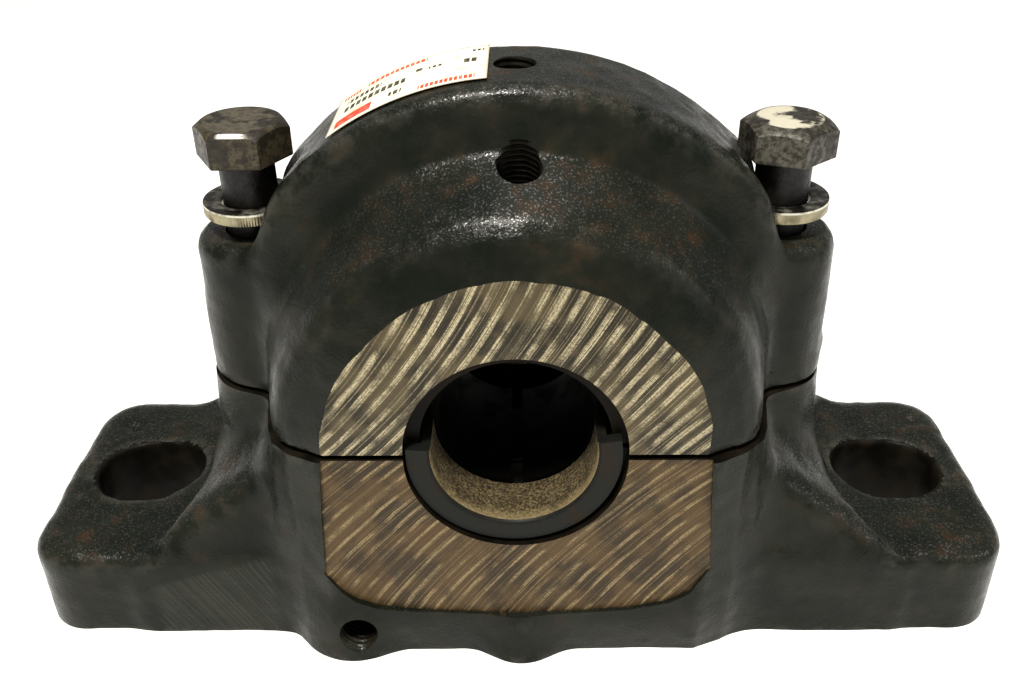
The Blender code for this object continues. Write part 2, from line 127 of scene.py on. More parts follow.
# %% A class for node materials
class Finish:
    """A material with short words for adding nodes.  Lengths in it are in millimetres."""

    def __init__(self, name, metallic=0.0, specular=0.5):
        self.material = bpy.data.materials.new(name)
        self.material.use_nodes = True
        self.tree = self.material.node_tree
        self.shader = self.tree.nodes["Principled BSDF"]
        self.shader.inputs["Metallic"].default_value = metallic
        self.shader.inputs["Specular IOR Level"].default_value = specular
        coordinates = self.tree.nodes.new("ShaderNodeTexCoord")
        scale = self.node("ShaderNodeVectorMath", {"operation": "SCALE"}, {"Scale": 1 / MM})
        self.tree.links.new(coordinates.outputs["Object"], scale.inputs[0])
        self.place = scale.outputs[0]
        split = self.node("ShaderNodeSeparateXYZ", {}, {0: self.place})
        self.x, self.y, self.z = split.outputs

    def node(self, kind, settings, inputs):
        made = self.tree.nodes.new(kind)
        for key, value in settings.items():
            setattr(made, key, value)
        for key, value in inputs.items():
            if isinstance(value, bpy.types.NodeSocket):
                self.tree.links.new(value, made.inputs[key])
            elif isinstance(value, tuple) and len(value) == 3 and made.inputs[key].type == "RGBA":
                made.inputs[key].default_value = (*value, 1.0)
            else:
                made.inputs[key].default_value = value
        return made

    def maths(self, operation, first, second=0.0, third=0.0):
        made = self.node("ShaderNodeMath", {"operation": operation}, {0: first, 1: second, 2: third})
        return made.outputs[0]

    def product(self, first, *others):
        """All the values multiplied together."""
        for other in others:
            first = self.maths("MULTIPLY", first, other)
        return first

    def noise(self, size, detail=2.0, roughness=0.5):
        """Cloudy values from 0 to 1, with lumps about size millimetres across."""
        return self.node("ShaderNodeTexNoise", {}, {
            "Vector": self.place, "Scale": 1.0 / size, "Detail": detail,
            "Roughness": roughness}).outputs["Fac"]

    def lines(self, along, size, detail=2.0):
        """Random lines: noise that changes along one value only."""
        return self.node("ShaderNodeTexNoise", {"noise_dimensions": "1D"}, {
            "W": along, "Scale": 1.0 / size, "Detail": detail}).outputs["Fac"]

    def stretch(self, value, low, high, to_low=0.0, to_high=1.0):
        """Values from low to high become to_low to to_high, with soft ends."""
        return self.node("ShaderNodeMapRange", {"interpolation_type": "SMOOTHSTEP"}, {
            "Value": value, "From Min": low, "From Max": high,
            "To Min": to_low, "To Max": to_high}).outputs["Result"]

    def mix(self, share, first, second):
        made = self.node("ShaderNodeMix", {"data_type": "RGBA"}, {0: share, 6: first, 7: second})
        return made.outputs[2]

    def attribute(self, name):
        return self.node("ShaderNodeAttribute", {"attribute_name": name}, {}).outputs["Fac"]

    def facing_up(self):
        normal = self.node("ShaderNodeNewGeometry", {}, {}).outputs["Normal"]
        return self.node("ShaderNodeSeparateXYZ", {}, {0: normal}).outputs[2]

    def coat(self, colour, roughness, bumps=(), metallic=None):
        """Joins the patterns to the shader.  Each bump is (height, strength, depth in mm)."""
        looks = (("Base Color", colour), ("Roughness", roughness), ("Metallic", metallic))
        for socket, value in looks:
            if isinstance(value, bpy.types.NodeSocket):
                self.tree.links.new(value, self.shader.inputs[socket])
            elif isinstance(value, tuple):
                self.shader.inputs[socket].default_value = (*value, 1.0)
            elif value is not None:
                self.shader.inputs[socket].default_value = value
        normal = None
        for height, strength, depth in bumps:
            bump = self.node("ShaderNodeBump", {}, {
                "Height": height, "Strength": strength, "Distance": depth * MM})
            if normal:
                self.tree.links.new(normal, bump.inputs["Normal"])
            normal = bump.outputs["Normal"]
        if normal:
            self.tree.links.new(normal, self.shader.inputs["Normal"])
        return self.material


# %% [markdown]
# ## Painted cast iron
#
# Sand leaves a fine pebbled skin, and the paint over it is thin and nearly black.  Grains on the
# upward slopes glint, so the specular level is a pattern too.  Rust shows through on the tops.
# The `wear` value is stored on the castings' points later, and it is high on edges that stand
# out.  The front of the left foot was scraped, and fine scratches lean across that patch.

# %% Paint on the castings
BLACK_PAINT, GREEN_PAINT = (0.0050, 0.0062, 0.0042), (0.0110, 0.0125, 0.0085)
RUST, WORN_EDGE, SCRAPED = (0.034, 0.017, 0.0070), (0.060, 0.060, 0.050), (0.034, 0.036, 0.028)


def scraped_patch(iron):
    """1 on the scratches of the flat patch on the left foot's front, 0 elsewhere."""
    top_edge = iron.maths("MULTIPLY_ADD", iron.x, -0.3, iron.z)
    scratches = iron.lines(iron.maths("MULTIPLY_ADD", iron.z, 0.55, iron.x), 0.6, 3.0)
    return iron.product(iron.stretch(iron.x, -92.0, -88.0), iron.stretch(iron.x, -59.0, -62.0),
                        iron.stretch(iron.y, -33.5, -34.0), iron.stretch(top_edge, 44.0, 42.0),
                        iron.stretch(scratches, 0.46, 0.68, 0.15, 0.9))


def painted_iron():
    iron = Finish("painted_cast_iron")
    pebbles = iron.noise(0.85, 3.0)
    grit = iron.noise(0.38, 2.0)
    patches = iron.noise(17.0, 4.0, roughness=0.6)
    dirt = iron.noise(5.0, 5.0, roughness=0.65)
    paint = iron.mix(iron.stretch(patches, 0.35, 0.65), BLACK_PAINT, GREEN_PAINT)
    rust = iron.product(iron.stretch(dirt, 0.46, 0.70), iron.stretch(patches, 0.38, 0.66),
                        iron.stretch(iron.facing_up(), 0.15, 1.0, 0.25, 1.0))
    worn = iron.product(iron.attribute("wear"), iron.stretch(dirt, 0.40, 0.62), 0.55)
    colour = iron.mix(worn, iron.mix(rust, paint, RUST), WORN_EDGE)
    colour = iron.mix(scraped_patch(iron), colour, SCRAPED)
    roughness = iron.maths("MULTIPLY_ADD", grit, 0.05, iron.stretch(dirt, 0.3, 0.7, 0.19, 0.36))
    grains = iron.stretch(iron.noise(0.5, 1.0), 0.56, 0.68, 0.0, 0.90)
    upward = iron.stretch(iron.facing_up(), 0.45, 0.78)
    glints = iron.maths("MULTIPLY_ADD", grains, upward, 0.12)
    iron.tree.links.new(glints, iron.shader.inputs["Specular IOR Level"])
    return iron.coat(colour, roughness, ((patches, 0.3, 0.5), (pebbles, 0.5, 0.20), (grit, 0.4, 0.07)))


PAINT = painted_iron()
print("made", PAINT.name)

# %% [markdown]
# ## Milled iron
#
# The ends were faced with a large rotating cutter.  Its blades left curved stripes, bright where
# the iron is clean and dark where grease stays in the marks.  A stripe's number is worked out
# from x and the height w over the split, as (x + a w + b w squared) / pitch, so the stripes lean
# and bend.  The base was faced in another setting, so it gets other values.

# %% Stripes on the milled faces
def milled_iron(name, zero, lean, bend, pitch, share, bright, middle, dark):
    """Stripes one pitch apart; share sets how wide the bright part of each one is."""
    iron = Finish(name, specular=0.25)
    w = iron.maths("SUBTRACT", iron.z, zero)
    curve = iron.product(w, w, bend)
    across = iron.maths("ADD", iron.maths("MULTIPLY_ADD", w, lean, iron.x), curve)
    wander = iron.maths("MULTIPLY_ADD", iron.noise(16.0, 2.0), 3.0, across)
    within = iron.maths("FRACT", iron.maths("DIVIDE", wander, pitch))
    stripe = iron.maths("ABSOLUTE", iron.maths("SUBTRACT", within, 0.5))
    band = iron.stretch(stripe, share + 0.10, share - 0.06)
    fine = iron.lines(across, 0.55, 3.0)
    speck = iron.noise(0.42, 2.0)
    cloud = iron.noise(9.0, 3.0)
    strength = iron.stretch(iron.noise(8.0, 3.0), 0.38, 0.60, 0.12, 1.0)
    streaks = iron.stretch(iron.lines(across, 0.32, 2.0), 0.36, 0.58, 0.15, 1.0)
    light = iron.maths("ADD", iron.product(band, strength, streaks),
                       iron.stretch(fine, 0.52, 0.74, 0.0, 0.45))
    light = iron.product(light, iron.stretch(speck, 0.30, 0.60, 0.35, 1.15))
    ground = iron.mix(iron.stretch(cloud, 0.40, 0.62), dark, middle)
    ground = iron.mix(iron.stretch(speck, 0.55, 0.75, 0.0, 0.45), ground, middle)
    colour = iron.mix(light, ground, bright)
    roughness = iron.stretch(light, 0.0, 1.0, 0.56, 0.36)
    return iron.coat(colour, roughness, ((fine, 0.35, 0.12), (speck, 0.3, 0.08)), metallic=0.15)


MILLED_CAP = milled_iron("milled_cap_face", CAP_AXIS, -1.0, 0.0066, 3.9, 0.19,
                         (0.45, 0.39, 0.245), (0.066, 0.050, 0.025), (0.019, 0.015, 0.009))
MILLED_BASE = milled_iron("milled_base_face", AXIS, -1.15, -0.0055, 4.1, 0.11,
                          (0.27, 0.20, 0.100), (0.068, 0.040, 0.015), (0.028, 0.018, 0.008))
print("made", MILLED_CAP.name, "and", MILLED_BASE.name)

# %% [markdown]
# The bores, the split faces and the bolt holes were cut too, but they are dark with old grease.
# The same near-black finish goes on the walls of the foot slots as painted shade.

# %% Greasy machined iron, also used as painted shade in the foot slots
def greasy_iron_and_slot_shade():
    iron = Finish("greasy_bore_and_slot_shade", specular=0.06)
    rings = iron.lines(iron.y, 0.8, 2.0)
    film = iron.noise(7.0, 4.0)
    colour = iron.mix(iron.stretch(film, 0.35, 0.68), (0.0035, 0.0030, 0.0021),
                      (0.0110, 0.0085, 0.0053))
    return iron.coat(colour, iron.stretch(film, 0.3, 0.7, 0.35, 0.55), ((rings, 0.25, 0.08),))


BORE_AND_SLOT_SHADE = greasy_iron_and_slot_shade()
print("made", BORE_AND_SLOT_SHADE.name)

# %% [markdown]
# ## Tools for shapes
#
# Every new shape is worked out with numpy as whole arrays and then handed to a mesh.  The first
# helper does the handing over.  The next two join a grid of points into faces and close its two
# ends, and the last one hangs a finished piece on its body and hides the nodes that it stands for.

# %% Put arrays into a mesh
def put(name, points, faces, material=None, sharp=40.0):
    """A mesh object from points in millimetres and faces given as rows of point numbers."""
    mesh = bpy.data.meshes.new(name)
    faces = faces.tolist() if isinstance(faces, np.ndarray) else faces
    mesh.from_pydata((np.asarray(points) * MM).tolist(), [], faces)
    made = bmesh.new()
    made.from_mesh(mesh)
    bmesh.ops.remove_doubles(made, verts=made.verts, dist=1e-7)
    bmesh.ops.dissolve_degenerate(made, edges=made.edges, dist=1e-7)
    bmesh.ops.recalc_face_normals(made, faces=made.faces)
    made.to_mesh(mesh)
    made.free()
    mesh.shade_smooth()
    mesh.set_sharp_from_angle(angle=math.radians(sharp))
    if material:
        mesh.materials.append(material)
    piece = bpy.data.objects.new(name, mesh)
    bpy.context.scene.collection.objects.link(piece)
    return piece


def quads(rows, columns, loop_rows=False, loop_columns=False):
    """Faces of a grid: point (i, j) is number i * columns + j, and loops join last to first."""
    i, j = np.meshgrid(np.arange(rows - (not loop_rows)), np.arange(columns - (not loop_columns)),
                       indexing="ij")
    up, side = (i + 1) % rows, (j + 1) % columns
    corners = ((i, j), (up, j), (up, side), (i, side))
    return np.stack([row * columns + column for row, column in corners], -1).reshape(-1, 4)


def tube(rows, columns):
    """Faces of a closed bar: a grid that loops round its columns, and a face on each end."""
    last = (rows - 1) * columns
    ends = [list(range(columns)), list(range(last, last + columns))]
    return quads(rows, columns, False, True).tolist() + ends


def hand_in(piece, body, nodes):
    """Hangs the piece on its body's empty and hides the nodes that it stands for."""
    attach(piece, body)
    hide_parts(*nodes)
    return piece


# %% [markdown]
# A turned shape is a closed outline of (radius, y) points carried round the shaft line.  Sharp
# corners of the outline are replaced by small curves first, because a real edge is never
# perfectly sharp and a small curve catches the light.

# %% Turned shapes
def soften(outline, size):
    """Each sharp corner p becomes three points of the curve (a + 2 p + b) / 4 between its sides."""
    p = np.array(outline, float)
    back, on = np.roll(p, 1, 0) - p, np.roll(p, -1, 0) - p
    back_length, on_length = (np.linalg.norm(v, axis=1, keepdims=True) for v in (back, on))
    back, on = back / back_length, on / on_length
    reach = np.minimum(size, 0.4 * np.minimum(back_length, on_length))
    a, b = p + back * reach, p + on * reach
    corner = (np.abs((back * on).sum(1)) < 0.95) if size > 0 else np.zeros(len(p), bool)
    rows = [np.array([u, (u + 2 * v + w) / 4, w]) if sharp else v[None]
            for u, v, w, sharp in zip(a, p, b, corner)]
    return np.concatenate(rows)


def turned(name, outline, material=None, axis=(0.0, AXIS), steps=128, start=0.0, stop=360.0,
           edge=0.25):
    """Point (r, y) at angle t from the top goes to (r sin t, y, r cos t) from the axis."""
    ring = soften(outline, edge)
    whole = stop - start >= 360.0
    count = steps if whole else max(4, int(steps * (stop - start) / 360))
    t = np.radians(start + (stop - start) * np.arange(count + (not whole)) / count)[:, None]
    radius, y = ring[:, 0][None], ring[:, 1][None]
    points = np.stack([axis[0] + radius * np.sin(t), y + 0 * t, axis[1] + radius * np.cos(t)], -1)
    faces = quads(len(t), len(ring), True, True) if whole else tube(len(t), len(ring))
    return put(name, points.reshape(-1, 3), faces, material)


def rod(name, radius, start, stop, material=None, steps=48, end_radius=None, pitch=0.0, depth=0.0,
        detail=6):
    """A round bar or cone.  With a pitch its radius falls by depth in a helical groove:
    the groove's depth at angle t and distance s is a triangle wave of s / pitch - t / full turn."""
    start, stop = np.array(start, float), np.array(stop, float)
    length = np.linalg.norm(stop - start)
    along = (stop - start) / length
    aside = np.cross(along, (0.0, 1.0, 0.0) if abs(along[1]) < 0.9 else (1.0, 0.0, 0.0))
    aside /= np.linalg.norm(aside)
    across = np.cross(along, aside)
    rows = max(2, int(length / pitch * detail) if pitch else 2)
    s = np.linspace(0.0, length, rows)[:, None]
    t = np.arange(steps)[None] * 2 * np.pi / steps
    far = radius if end_radius is None else end_radius
    groove = depth * np.abs(((s / pitch - t / (2 * np.pi)) % 1.0) * 2 - 1) if pitch else 0.0
    r = (radius + (far - radius) * s / length - groove + 0 * t)[..., None]
    round_it = np.cos(t)[..., None] * aside + np.sin(t)[..., None] * across
    points = start + s[..., None] * along + r * round_it
    return put(name, points.reshape(-1, 3), tube(rows, steps), material)


def slab(name, low, high):
    """A plain block between two corners, used only to cut with."""
    pick = np.array(np.meshgrid([0, 1], [0, 1], [0, 1], indexing="ij")).reshape(3, 8).T
    points = np.array(low) * (1 - pick) + np.array(high) * pick
    sides = [[0, 1, 3, 2], [4, 6, 7, 5], [0, 4, 5, 1], [2, 3, 7, 6], [0, 2, 6, 4], [1, 5, 7, 3]]
    return put(name, points, sides)


def prism(name, outline, start, stop):
    """An outline in X and Z carried along Y."""
    p = np.array(outline, float)
    ends = [np.stack([p[:, 0], np.full(len(p), y), p[:, 1]], -1) for y in (start, stop)]
    return put(name, np.concatenate(ends), tube(2, len(p)))


# %% [markdown]
# ## Casting by distance
#
# A casting has no sharp inner corners, because sand can't hold them.  Such a shape could be
# modelled with many bevels, but it is easier to describe it by distance.  For every point of a
# fine lattice we work out how far it is from the nearest part, negative inside.  Two parts then
# melt into each other with a chosen fillet, which is what molten iron does in the mould.

# %% Distances
def melt(a, b, fillet):
    """The union of two distances, rounded: min(a, b) minus fillet h (1 - h), h the blend share."""
    h = np.clip(0.5 + 0.5 * (b - a) / fillet, 0.0, 1.0)
    return b + (a - b) * h - fillet * h * (1.0 - h)


def both(a, b, fillet):
    """The part inside both, with a rounded edge."""
    return -melt(-a, -b, fillet)


def carve(a, b, fillet):
    """The part inside a and outside b, with a rounded edge."""
    return -melt(-a, b, fillet)


def outline_distance(u, v, corners):
    """Distance to a closed outline, negative inside.  Only its few sides are looped over."""
    corners = np.array(corners, float)
    near = np.full(np.broadcast(u, v).shape, 1e9)
    inside = np.zeros(near.shape, bool)
    for (x0, y0), (x1, y1) in zip(corners, np.roll(corners, -1, 0)):
        ex, ey = x1 - x0, y1 - y0
        wx, wy = u - x0, v - y0
        share = np.clip((wx * ex + wy * ey) / (ex * ex + ey * ey), 0, 1)
        near = np.minimum(near, (wx - ex * share) ** 2 + (wy - ey * share) ** 2)
        crosses = (v >= y0) != (v >= y1)
        side = ex * wy - ey * wx > 0
        inside ^= crosses & (side == (y1 > y0))
    return np.where(inside, -1, 1) * np.sqrt(near)


def plate_distance(x, y, half_x, half_y, radius):
    """Distance to a rectangle with round corners."""
    qx, qy = np.abs(x) - half_x + radius, np.abs(y) - half_y + radius
    return np.hypot(np.maximum(qx, 0), np.maximum(qy, 0)) + np.minimum(np.maximum(qx, qy), 0) - radius


def sand(x, y, z, size, seed):
    """Smooth random hills from -1 to 1, about size apart: random values at the corners of cells,
    blended inside each cell."""
    values = np.random.default_rng(seed).uniform(-1, 1, (32, 32, 32))
    total = 0.0
    cell, part = zip(*((np.floor(c / size).astype(int), c / size - np.floor(c / size)) for c in (x, y, z)))
    part = [p * p * (3 - 2 * p) for p in part]
    for corner in range(8):
        bits = [(corner >> k) & 1 for k in range(3)]
        weight = 1.0
        for p, bit in zip(part, bits):
            weight = weight * (p if bit else 1 - p)
        total = total + weight * values[tuple((c + bit) % 32 for c, bit in zip(cell, bits))]
    return total


def skin_noise(x, y, z, seed):
    """The unevenness of a sand casting: long waves, small lumps and pebbles."""
    return (0.30 * sand(x, y, z, 15.0, seed) + 0.15 * sand(x, y, z, 5.0, seed + 1)
            + 0.10 * sand(x, y, z, 2.3, seed + 2))


# %% [markdown]
# The surface is where the distance passes through zero.  One point goes into each lattice cell
# that the surface crosses, at the mean of the crossings on the cell's edges, and each crossed
# lattice line gets a face between its four cells.

# %% From distances to a surface
def lattice(low, high, pitch):
    axes = [np.arange(a, b + pitch, pitch) for a, b in zip(low, high)]
    return np.meshgrid(*axes, indexing="ij", sparse=True)


def surface(distance, low, pitch):
    """Points and faces of the zero surface of a lattice of distances."""
    inside = distance < 0
    shape = np.array(distance.shape) - 1
    corners = np.array([[(c >> k) & 1 for k in range(3)] for c in range(8)])
    windows = (tuple(slice(b, b + n) for b, n in zip(bits, shape)) for bits in corners)
    held = sum(inside[window].astype(np.int8) for window in windows)
    crossed = (held > 0) & (held < 8)
    number = np.full(crossed.shape, -1)
    number[crossed] = np.arange(crossed.sum())
    cells = np.argwhere(crossed)
    total, hits = np.zeros((len(cells), 3)), np.zeros(len(cells))
    for first in range(8):
        for k in range(3):
            if (first >> k) & 1:
                continue
            a, b = corners[first], corners[first + (1 << k)]
            da, db = distance[tuple((cells + a).T)], distance[tuple((cells + b).T)]
            hit = (da < 0) != (db < 0)
            share = da[hit] / (da[hit] - db[hit])
            total[hit] += a + share[:, None] * (b - a)
            hits[hit] += 1
    points = np.array(low) + pitch * (cells + total / hits[:, None])
    faces = []
    for k in range(3):
        step = np.eye(3, dtype=int)[k]
        one, two = np.eye(3, dtype=int)[(k + 1) % 3], np.eye(3, dtype=int)[(k + 2) % 3]
        low_cut = tuple(slice(0 if i == k else 1, -1) for i in range(3))
        high_cut = tuple(slice(1, None) if i == k else slice(1, -1) for i in range(3))
        starts = np.argwhere(inside[low_cut] != inside[high_cut]) + (1 - step)
        out = inside[tuple(starts.T)]
        ring = [starts - one - two, starts - two, starts, starts - one]
        face = np.stack([number[tuple(c.T)] for c in ring], -1)
        faces.append(np.where(out[:, None], face, face[:, ::-1]))
    return points, np.concatenate(faces)


def read_at(field, low, pitch, points):
    """Values of a lattice at free points, blended from the eight corners round each."""
    place = (points - np.array(low)) / pitch
    cell = np.clip(np.floor(place).astype(int), 0, np.array(field.shape) - 2)
    part = np.clip(place - cell, 0, 1)
    total = 0.0
    for corner in range(8):
        bits = np.array([(corner >> k) & 1 for k in range(3)])
        weight = np.prod(np.where(bits, part, 1 - part), axis=1)
        total = total + weight * field[tuple((cell + bits).T)]
    return total


def blur(field, times):
    """Each value becomes the mean of itself and its neighbours, several times."""
    for _ in range(times):
        for k in range(3):
            ahead, behind = np.roll(field, -1, k), np.roll(field, 1, k)
            field = 0.5 * field + 0.25 * (ahead + behind)
    return field


# %% [markdown]
# After casting comes machining.  Each cutter is a simple closed shape, and a boolean takes it
# away, which leaves the crisp edges that a mill or a drill leaves.  Faces that lie inside the
# rough shape must have been cut, so they get a machined finish and the rest is paint.

# %% Machine a casting
def machine(piece, cutters, material=None):
    """Takes the cutters away from the piece, applies the result and clears the cutters up."""
    for cutter in cutters:
        cut = piece.modifiers.new(cutter.name, "BOOLEAN")
        cut.operation, cut.solver, cut.object = "DIFFERENCE", "MANIFOLD", cutter
    bpy.context.view_layer.update()
    evaluated = piece.evaluated_get(bpy.context.evaluated_depsgraph_get())
    mesh = bpy.data.meshes.new_from_object(evaluated)
    piece.modifiers.clear()
    piece.data = mesh
    mesh.materials.clear()
    if material:
        mesh.materials.append(material)
        mesh.polygons.foreach_set("material_index", np.zeros(len(mesh.polygons), np.int32))
    for cutter in cutters:
        bpy.data.objects.remove(cutter, do_unlink=True)
    mesh.shade_smooth()
    mesh.set_sharp_from_angle(angle=math.radians(48.0))
    return piece


def points_of(mesh):
    co = np.empty(len(mesh.vertices) * 3, np.float32)
    mesh.vertices.foreach_get("co", co)
    return co.reshape(-1, 3).astype(float) / MM


def faces_of(mesh):
    """Middles of the faces in millimetres, and their normals."""
    middle, normal = (np.empty(len(mesh.polygons) * 3, np.float32) for _ in range(2))
    mesh.polygons.foreach_get("center", middle)
    mesh.polygons.foreach_get("normal", normal)
    return middle.reshape(-1, 3).astype(float) / MM, normal.reshape(-1, 3).astype(float)


def dress(piece, distance, low, pitch, materials, painted, in_shade):
    """Gives cut faces their finish and stores how far each painted edge stands out.
    The first test picks faces that keep the paint, the second uncut faces that get the dark finish as painted
    shade."""
    mesh = piece.data
    mesh.materials.clear()
    for material in materials:
        mesh.materials.append(material)
    centre, normal = faces_of(mesh)
    cut = read_at(distance, low, pitch, centre) < -0.22
    face = cut & (np.abs(normal[:, 1]) > 0.99) & (np.abs(centre[:, 1]) > END_FACE - 0.3)
    index = np.where(face, 1, np.where(cut & ~painted(centre) | in_shade(centre), 2, 0))
    mesh.polygons.foreach_set("material_index", index.astype(np.int32))
    bulge = (blur(distance, 6) - distance)
    wear = np.clip((read_at(bulge, low, pitch, points_of(mesh)) - 0.10) / 0.45, 0.0, 1.0)
    stored = mesh.attributes.new("wear", "FLOAT", "POINT")
    stored.data.foreach_set("value", wear.astype(np.float32))
    mesh.update()
    print(piece.name, "has", len(mesh.polygons), "faces,", int(face.sum()), "of them milled")
    return piece


# %% [markdown]
# ## The base
#
# The base is a long foot, a body block, two lugs for the bolts, and a web on each side that
# climbs from the foot's long edges to the body.  Round each bolt slot the web is cast away, so
# that a nut can sit flat.  In front, a drain boss and a centre lobe stand out at floor level.

# %% Shape of the base
PITCH = 1.0
BODY = [(-SIDE, 0.0), (-SIDE, -22.0), (-57.8, -29.5), (-55.8, -34.6), (-51.5, -38.8), (-44.2, -42.6),
        (44.2, -42.6), (51.5, -38.8), (55.8, -34.6), (57.8, -29.5), (SIDE, -22.0),
        (SIDE, 22.0), (57.8, 29.5), (55.8, 34.6), (51.5, 38.8), (44.2, 42.6),
        (-44.2, 42.6), (-51.5, 38.8), (-55.8, 34.6), (-57.8, 29.5), (-SIDE, 22.0)]


def slot_distance(side, y):
    """Distance to the long bolt hole in a foot."""
    return plate_distance(side - SLOT_X, y, SLOT_HALF, SLOT_R, SLOT_R - 0.1)


def base_distance(x, y, z):
    """Distance to the rough base.  Its parts melt together with fillets of 3 to 8 mm."""
    side = np.abs(x)
    foot = both(plate_distance(x, y, FOOT_HALF - 0.6, FOOT_DEPTH, 12.0), z - FOOT_TOP, 6.5)
    recede = 1.6 * np.clip((12.0 - z) / 12.0, 0, 1) ** 1.5
    body = outline_distance(x, y, BODY) + recede * (np.abs(y) > 30)
    lug = np.hypot(side - BOLT_X, y) - (15.0 + 2.6 * np.clip((AXIS - z) / 34.0, 0, 1.2))
    crest = 0.82 * (z - (FOOT_TOP - 1.5)) - 0.57 * (95.0 - side)
    front = np.abs(y) - (FOOT_DEPTH - 0.2) + 0.16 * np.clip(z - 22.0, 0, 40)
    web = both(both(crest, front, 7.0), side - 97.0, 4.0)
    rough = melt(body, lug, 7.0)
    rough = melt(rough, web, 8.0)
    rough = melt(rough, foot, 3.0)
    nut_room = both(plate_distance(side - 105.5, y, 24.5, 31.5, 19.0), FOOT_TOP - z, 1.0)
    rough = carve(rough, nut_room, 5.0)
    for lobe_y in (-35.4, 35.4):
        lobe = np.hypot(x - 1.0, y - lobe_y) - (10.6 - 0.24 * np.clip(z, 0, 20))
        rough = melt(rough, both(lobe, z - 13.2, 4.0), 5.0)
    boss = np.hypot((x + 41.0) / 1.2, y + 34.6) - (10.4 - 0.14 * np.clip(z, 0, 20))
    rough = melt(rough, both(boss, z - 16.5, 5.0), 4.5)
    rough = carve(rough, slot_distance(side, y), 1.8)
    for dent_x, dent_y in ((-110.0, 20.0), (113.0, 22.0)):
        reach = np.sqrt((x - dent_x) ** 2 + (y - dent_y) ** 2 + (z - FOOT_TOP - 0.6) ** 2)
        rough = carve(rough, reach - 3.1, 0.8)
    return both(rough, z - AXIS - 1.7, 2.2)


BASE_START = (-FOOT_HALF - 3.0, -51.0, -3.5)
grid = lattice(BASE_START, (FOOT_HALF + 3.0, 51.0, AXIS + 5.0), PITCH)
BASE_FIELD = base_distance(*grid)
BASE_FIELD = BASE_FIELD + skin_noise(*np.broadcast_arrays(*grid), 11) * 0.9
BASE_FIELD = np.maximum(BASE_FIELD, -1.6 - grid[2])
base_points, base_faces = surface(BASE_FIELD, BASE_START, PITCH)
BASE = put("base_casting", base_points, base_faces)
print("the rough base has", len(base_faces), "faces")

# %% [markdown]
# The bores and the tapped holes repeat in base and cap, so their outlines are written once.

# %% Machine the base
BORE_OUTLINE = [(0.0, 60.0), (25.0, 60.0), (25.0, 37.3), (21.6, 37.3), (21.6, 27.0), (39.0, 27.0),
                (39.0, 15.0), (42.8, 15.0), (42.8, -15.0), (39.0, -15.0), (39.0, -27.0),
                (21.6, -27.0), (21.6, -37.3), (25.0, -37.3), (25.0, -60.0), (0.0, -60.0)]
FACE = [(-43.3, 75), (-43.3, 60.0), (-44.5, 44.0), (-45.3, 29.0), (-45.8, 26.4), (-44.0, 24.0),
        (-42.0, 20.8), (-38.8, 18.0), (-34.0, 15.9), (-26.0, 14.6), (-17.0, 13.9), (0.0, 13.1),
        (14.7, 13.8), (27.3, 15.0), (36.6, 17.3), (41.4, 20.4), (43.3, 24.2), (45.0, 26.9),
        (46.0, 27.2), (45.6, 30.0), (44.4, 45.0), (43.4, 60.0), (43.4, 75)]
DRAIN_X, DRAIN_Z = -38.8, 8.3
DOWELS = (("front", -48.5, -21.5), ("rear", 48.5, 21.5))
DOWEL_HOLE_R = 3.3


def bore_cutter(name, height):
    """The whole inside as one turned solid.  Its outline starts and ends on the axis."""
    return turned(name, BORE_OUTLINE, axis=(0.0, height), edge=0.0, steps=160)


def dowel_cutters(low, high):
    return [rod(end_name + "_dowel_hole", DOWEL_HOLE_R, (x, y, low), (x, y, high))
            for end_name, x, y in DOWELS]


def bolt_hole(x):
    """A tapped hole with a countersink at its mouth, as two cutters."""
    radius = 6.65
    return [rod("bolt_thread", radius, (x, 0.0, 26.0), (x, 0.0, AXIS + 5.0), pitch=1.95, depth=0.5),
            rod("bolt_mouth", radius - 0.6, (x, 0.0, AXIS - 1.0), (x, 0.0, AXIS + 0.6),
                end_radius=radius + 0.9)]


base_cutters = [slab("floor", (-200, -100, -20), (200, 100, 0)),
                slab("split", (-200, -100, AXIS), (200, 100, 90)), bore_cutter("bore", AXIS),
                prism("front_end_face", FACE, -END_FACE, -60.0),
                prism("rear_end_face", FACE, END_FACE, 60.0)]
base_cutters += bolt_hole(-BOLT_X) + bolt_hole(BOLT_X)
base_cutters += [rod("drain", 4.6, (DRAIN_X, -60, DRAIN_Z), (DRAIN_X, -22, DRAIN_Z), pitch=1.4, depth=0.35),
                 rod("drain_mouth", 6.4, (DRAIN_X, -46.2, DRAIN_Z), (DRAIN_X, -43.2, DRAIN_Z), end_radius=4.2)]
base_cutters += dowel_cutters(48.0, 70.0)
machine(BASE, base_cutters)


def slot_walls_in_shade(centre):
    """The walls of the foot slots below their rounded mouths, which get the near-black finish as painted
    shade.
    """
    wall = slot_distance(np.abs(centre[:, 0]), centre[:, 1])
    return (wall < 1.3) & (centre[:, 2] < FOOT_TOP - 0.9)


def ledge(centre):
    """The step round a milled face, which was painted over."""
    return np.abs(centre[:, 1]) > END_FACE + 0.02


def nowhere(centre):
    return np.zeros(len(centre), bool)


# The foot slot walls get the near-black finish as painted shade.
dress(BASE, BASE_FIELD, BASE_START, PITCH, (PAINT, MILLED_BASE, BORE_AND_SLOT_SHADE), ledge, slot_walls_in_shade)
hand_in(BASE, "housing", ["housing_base"])

# %% [markdown]
# ## The cap
#
# The cap is turned in shape: a flat barrel band over the bearing, a steep wall, and a shoulder
# that slopes down to each end.  Its distance is worked out from the radius and from the distance
# to the mid-plane, so one outline gives both halves.

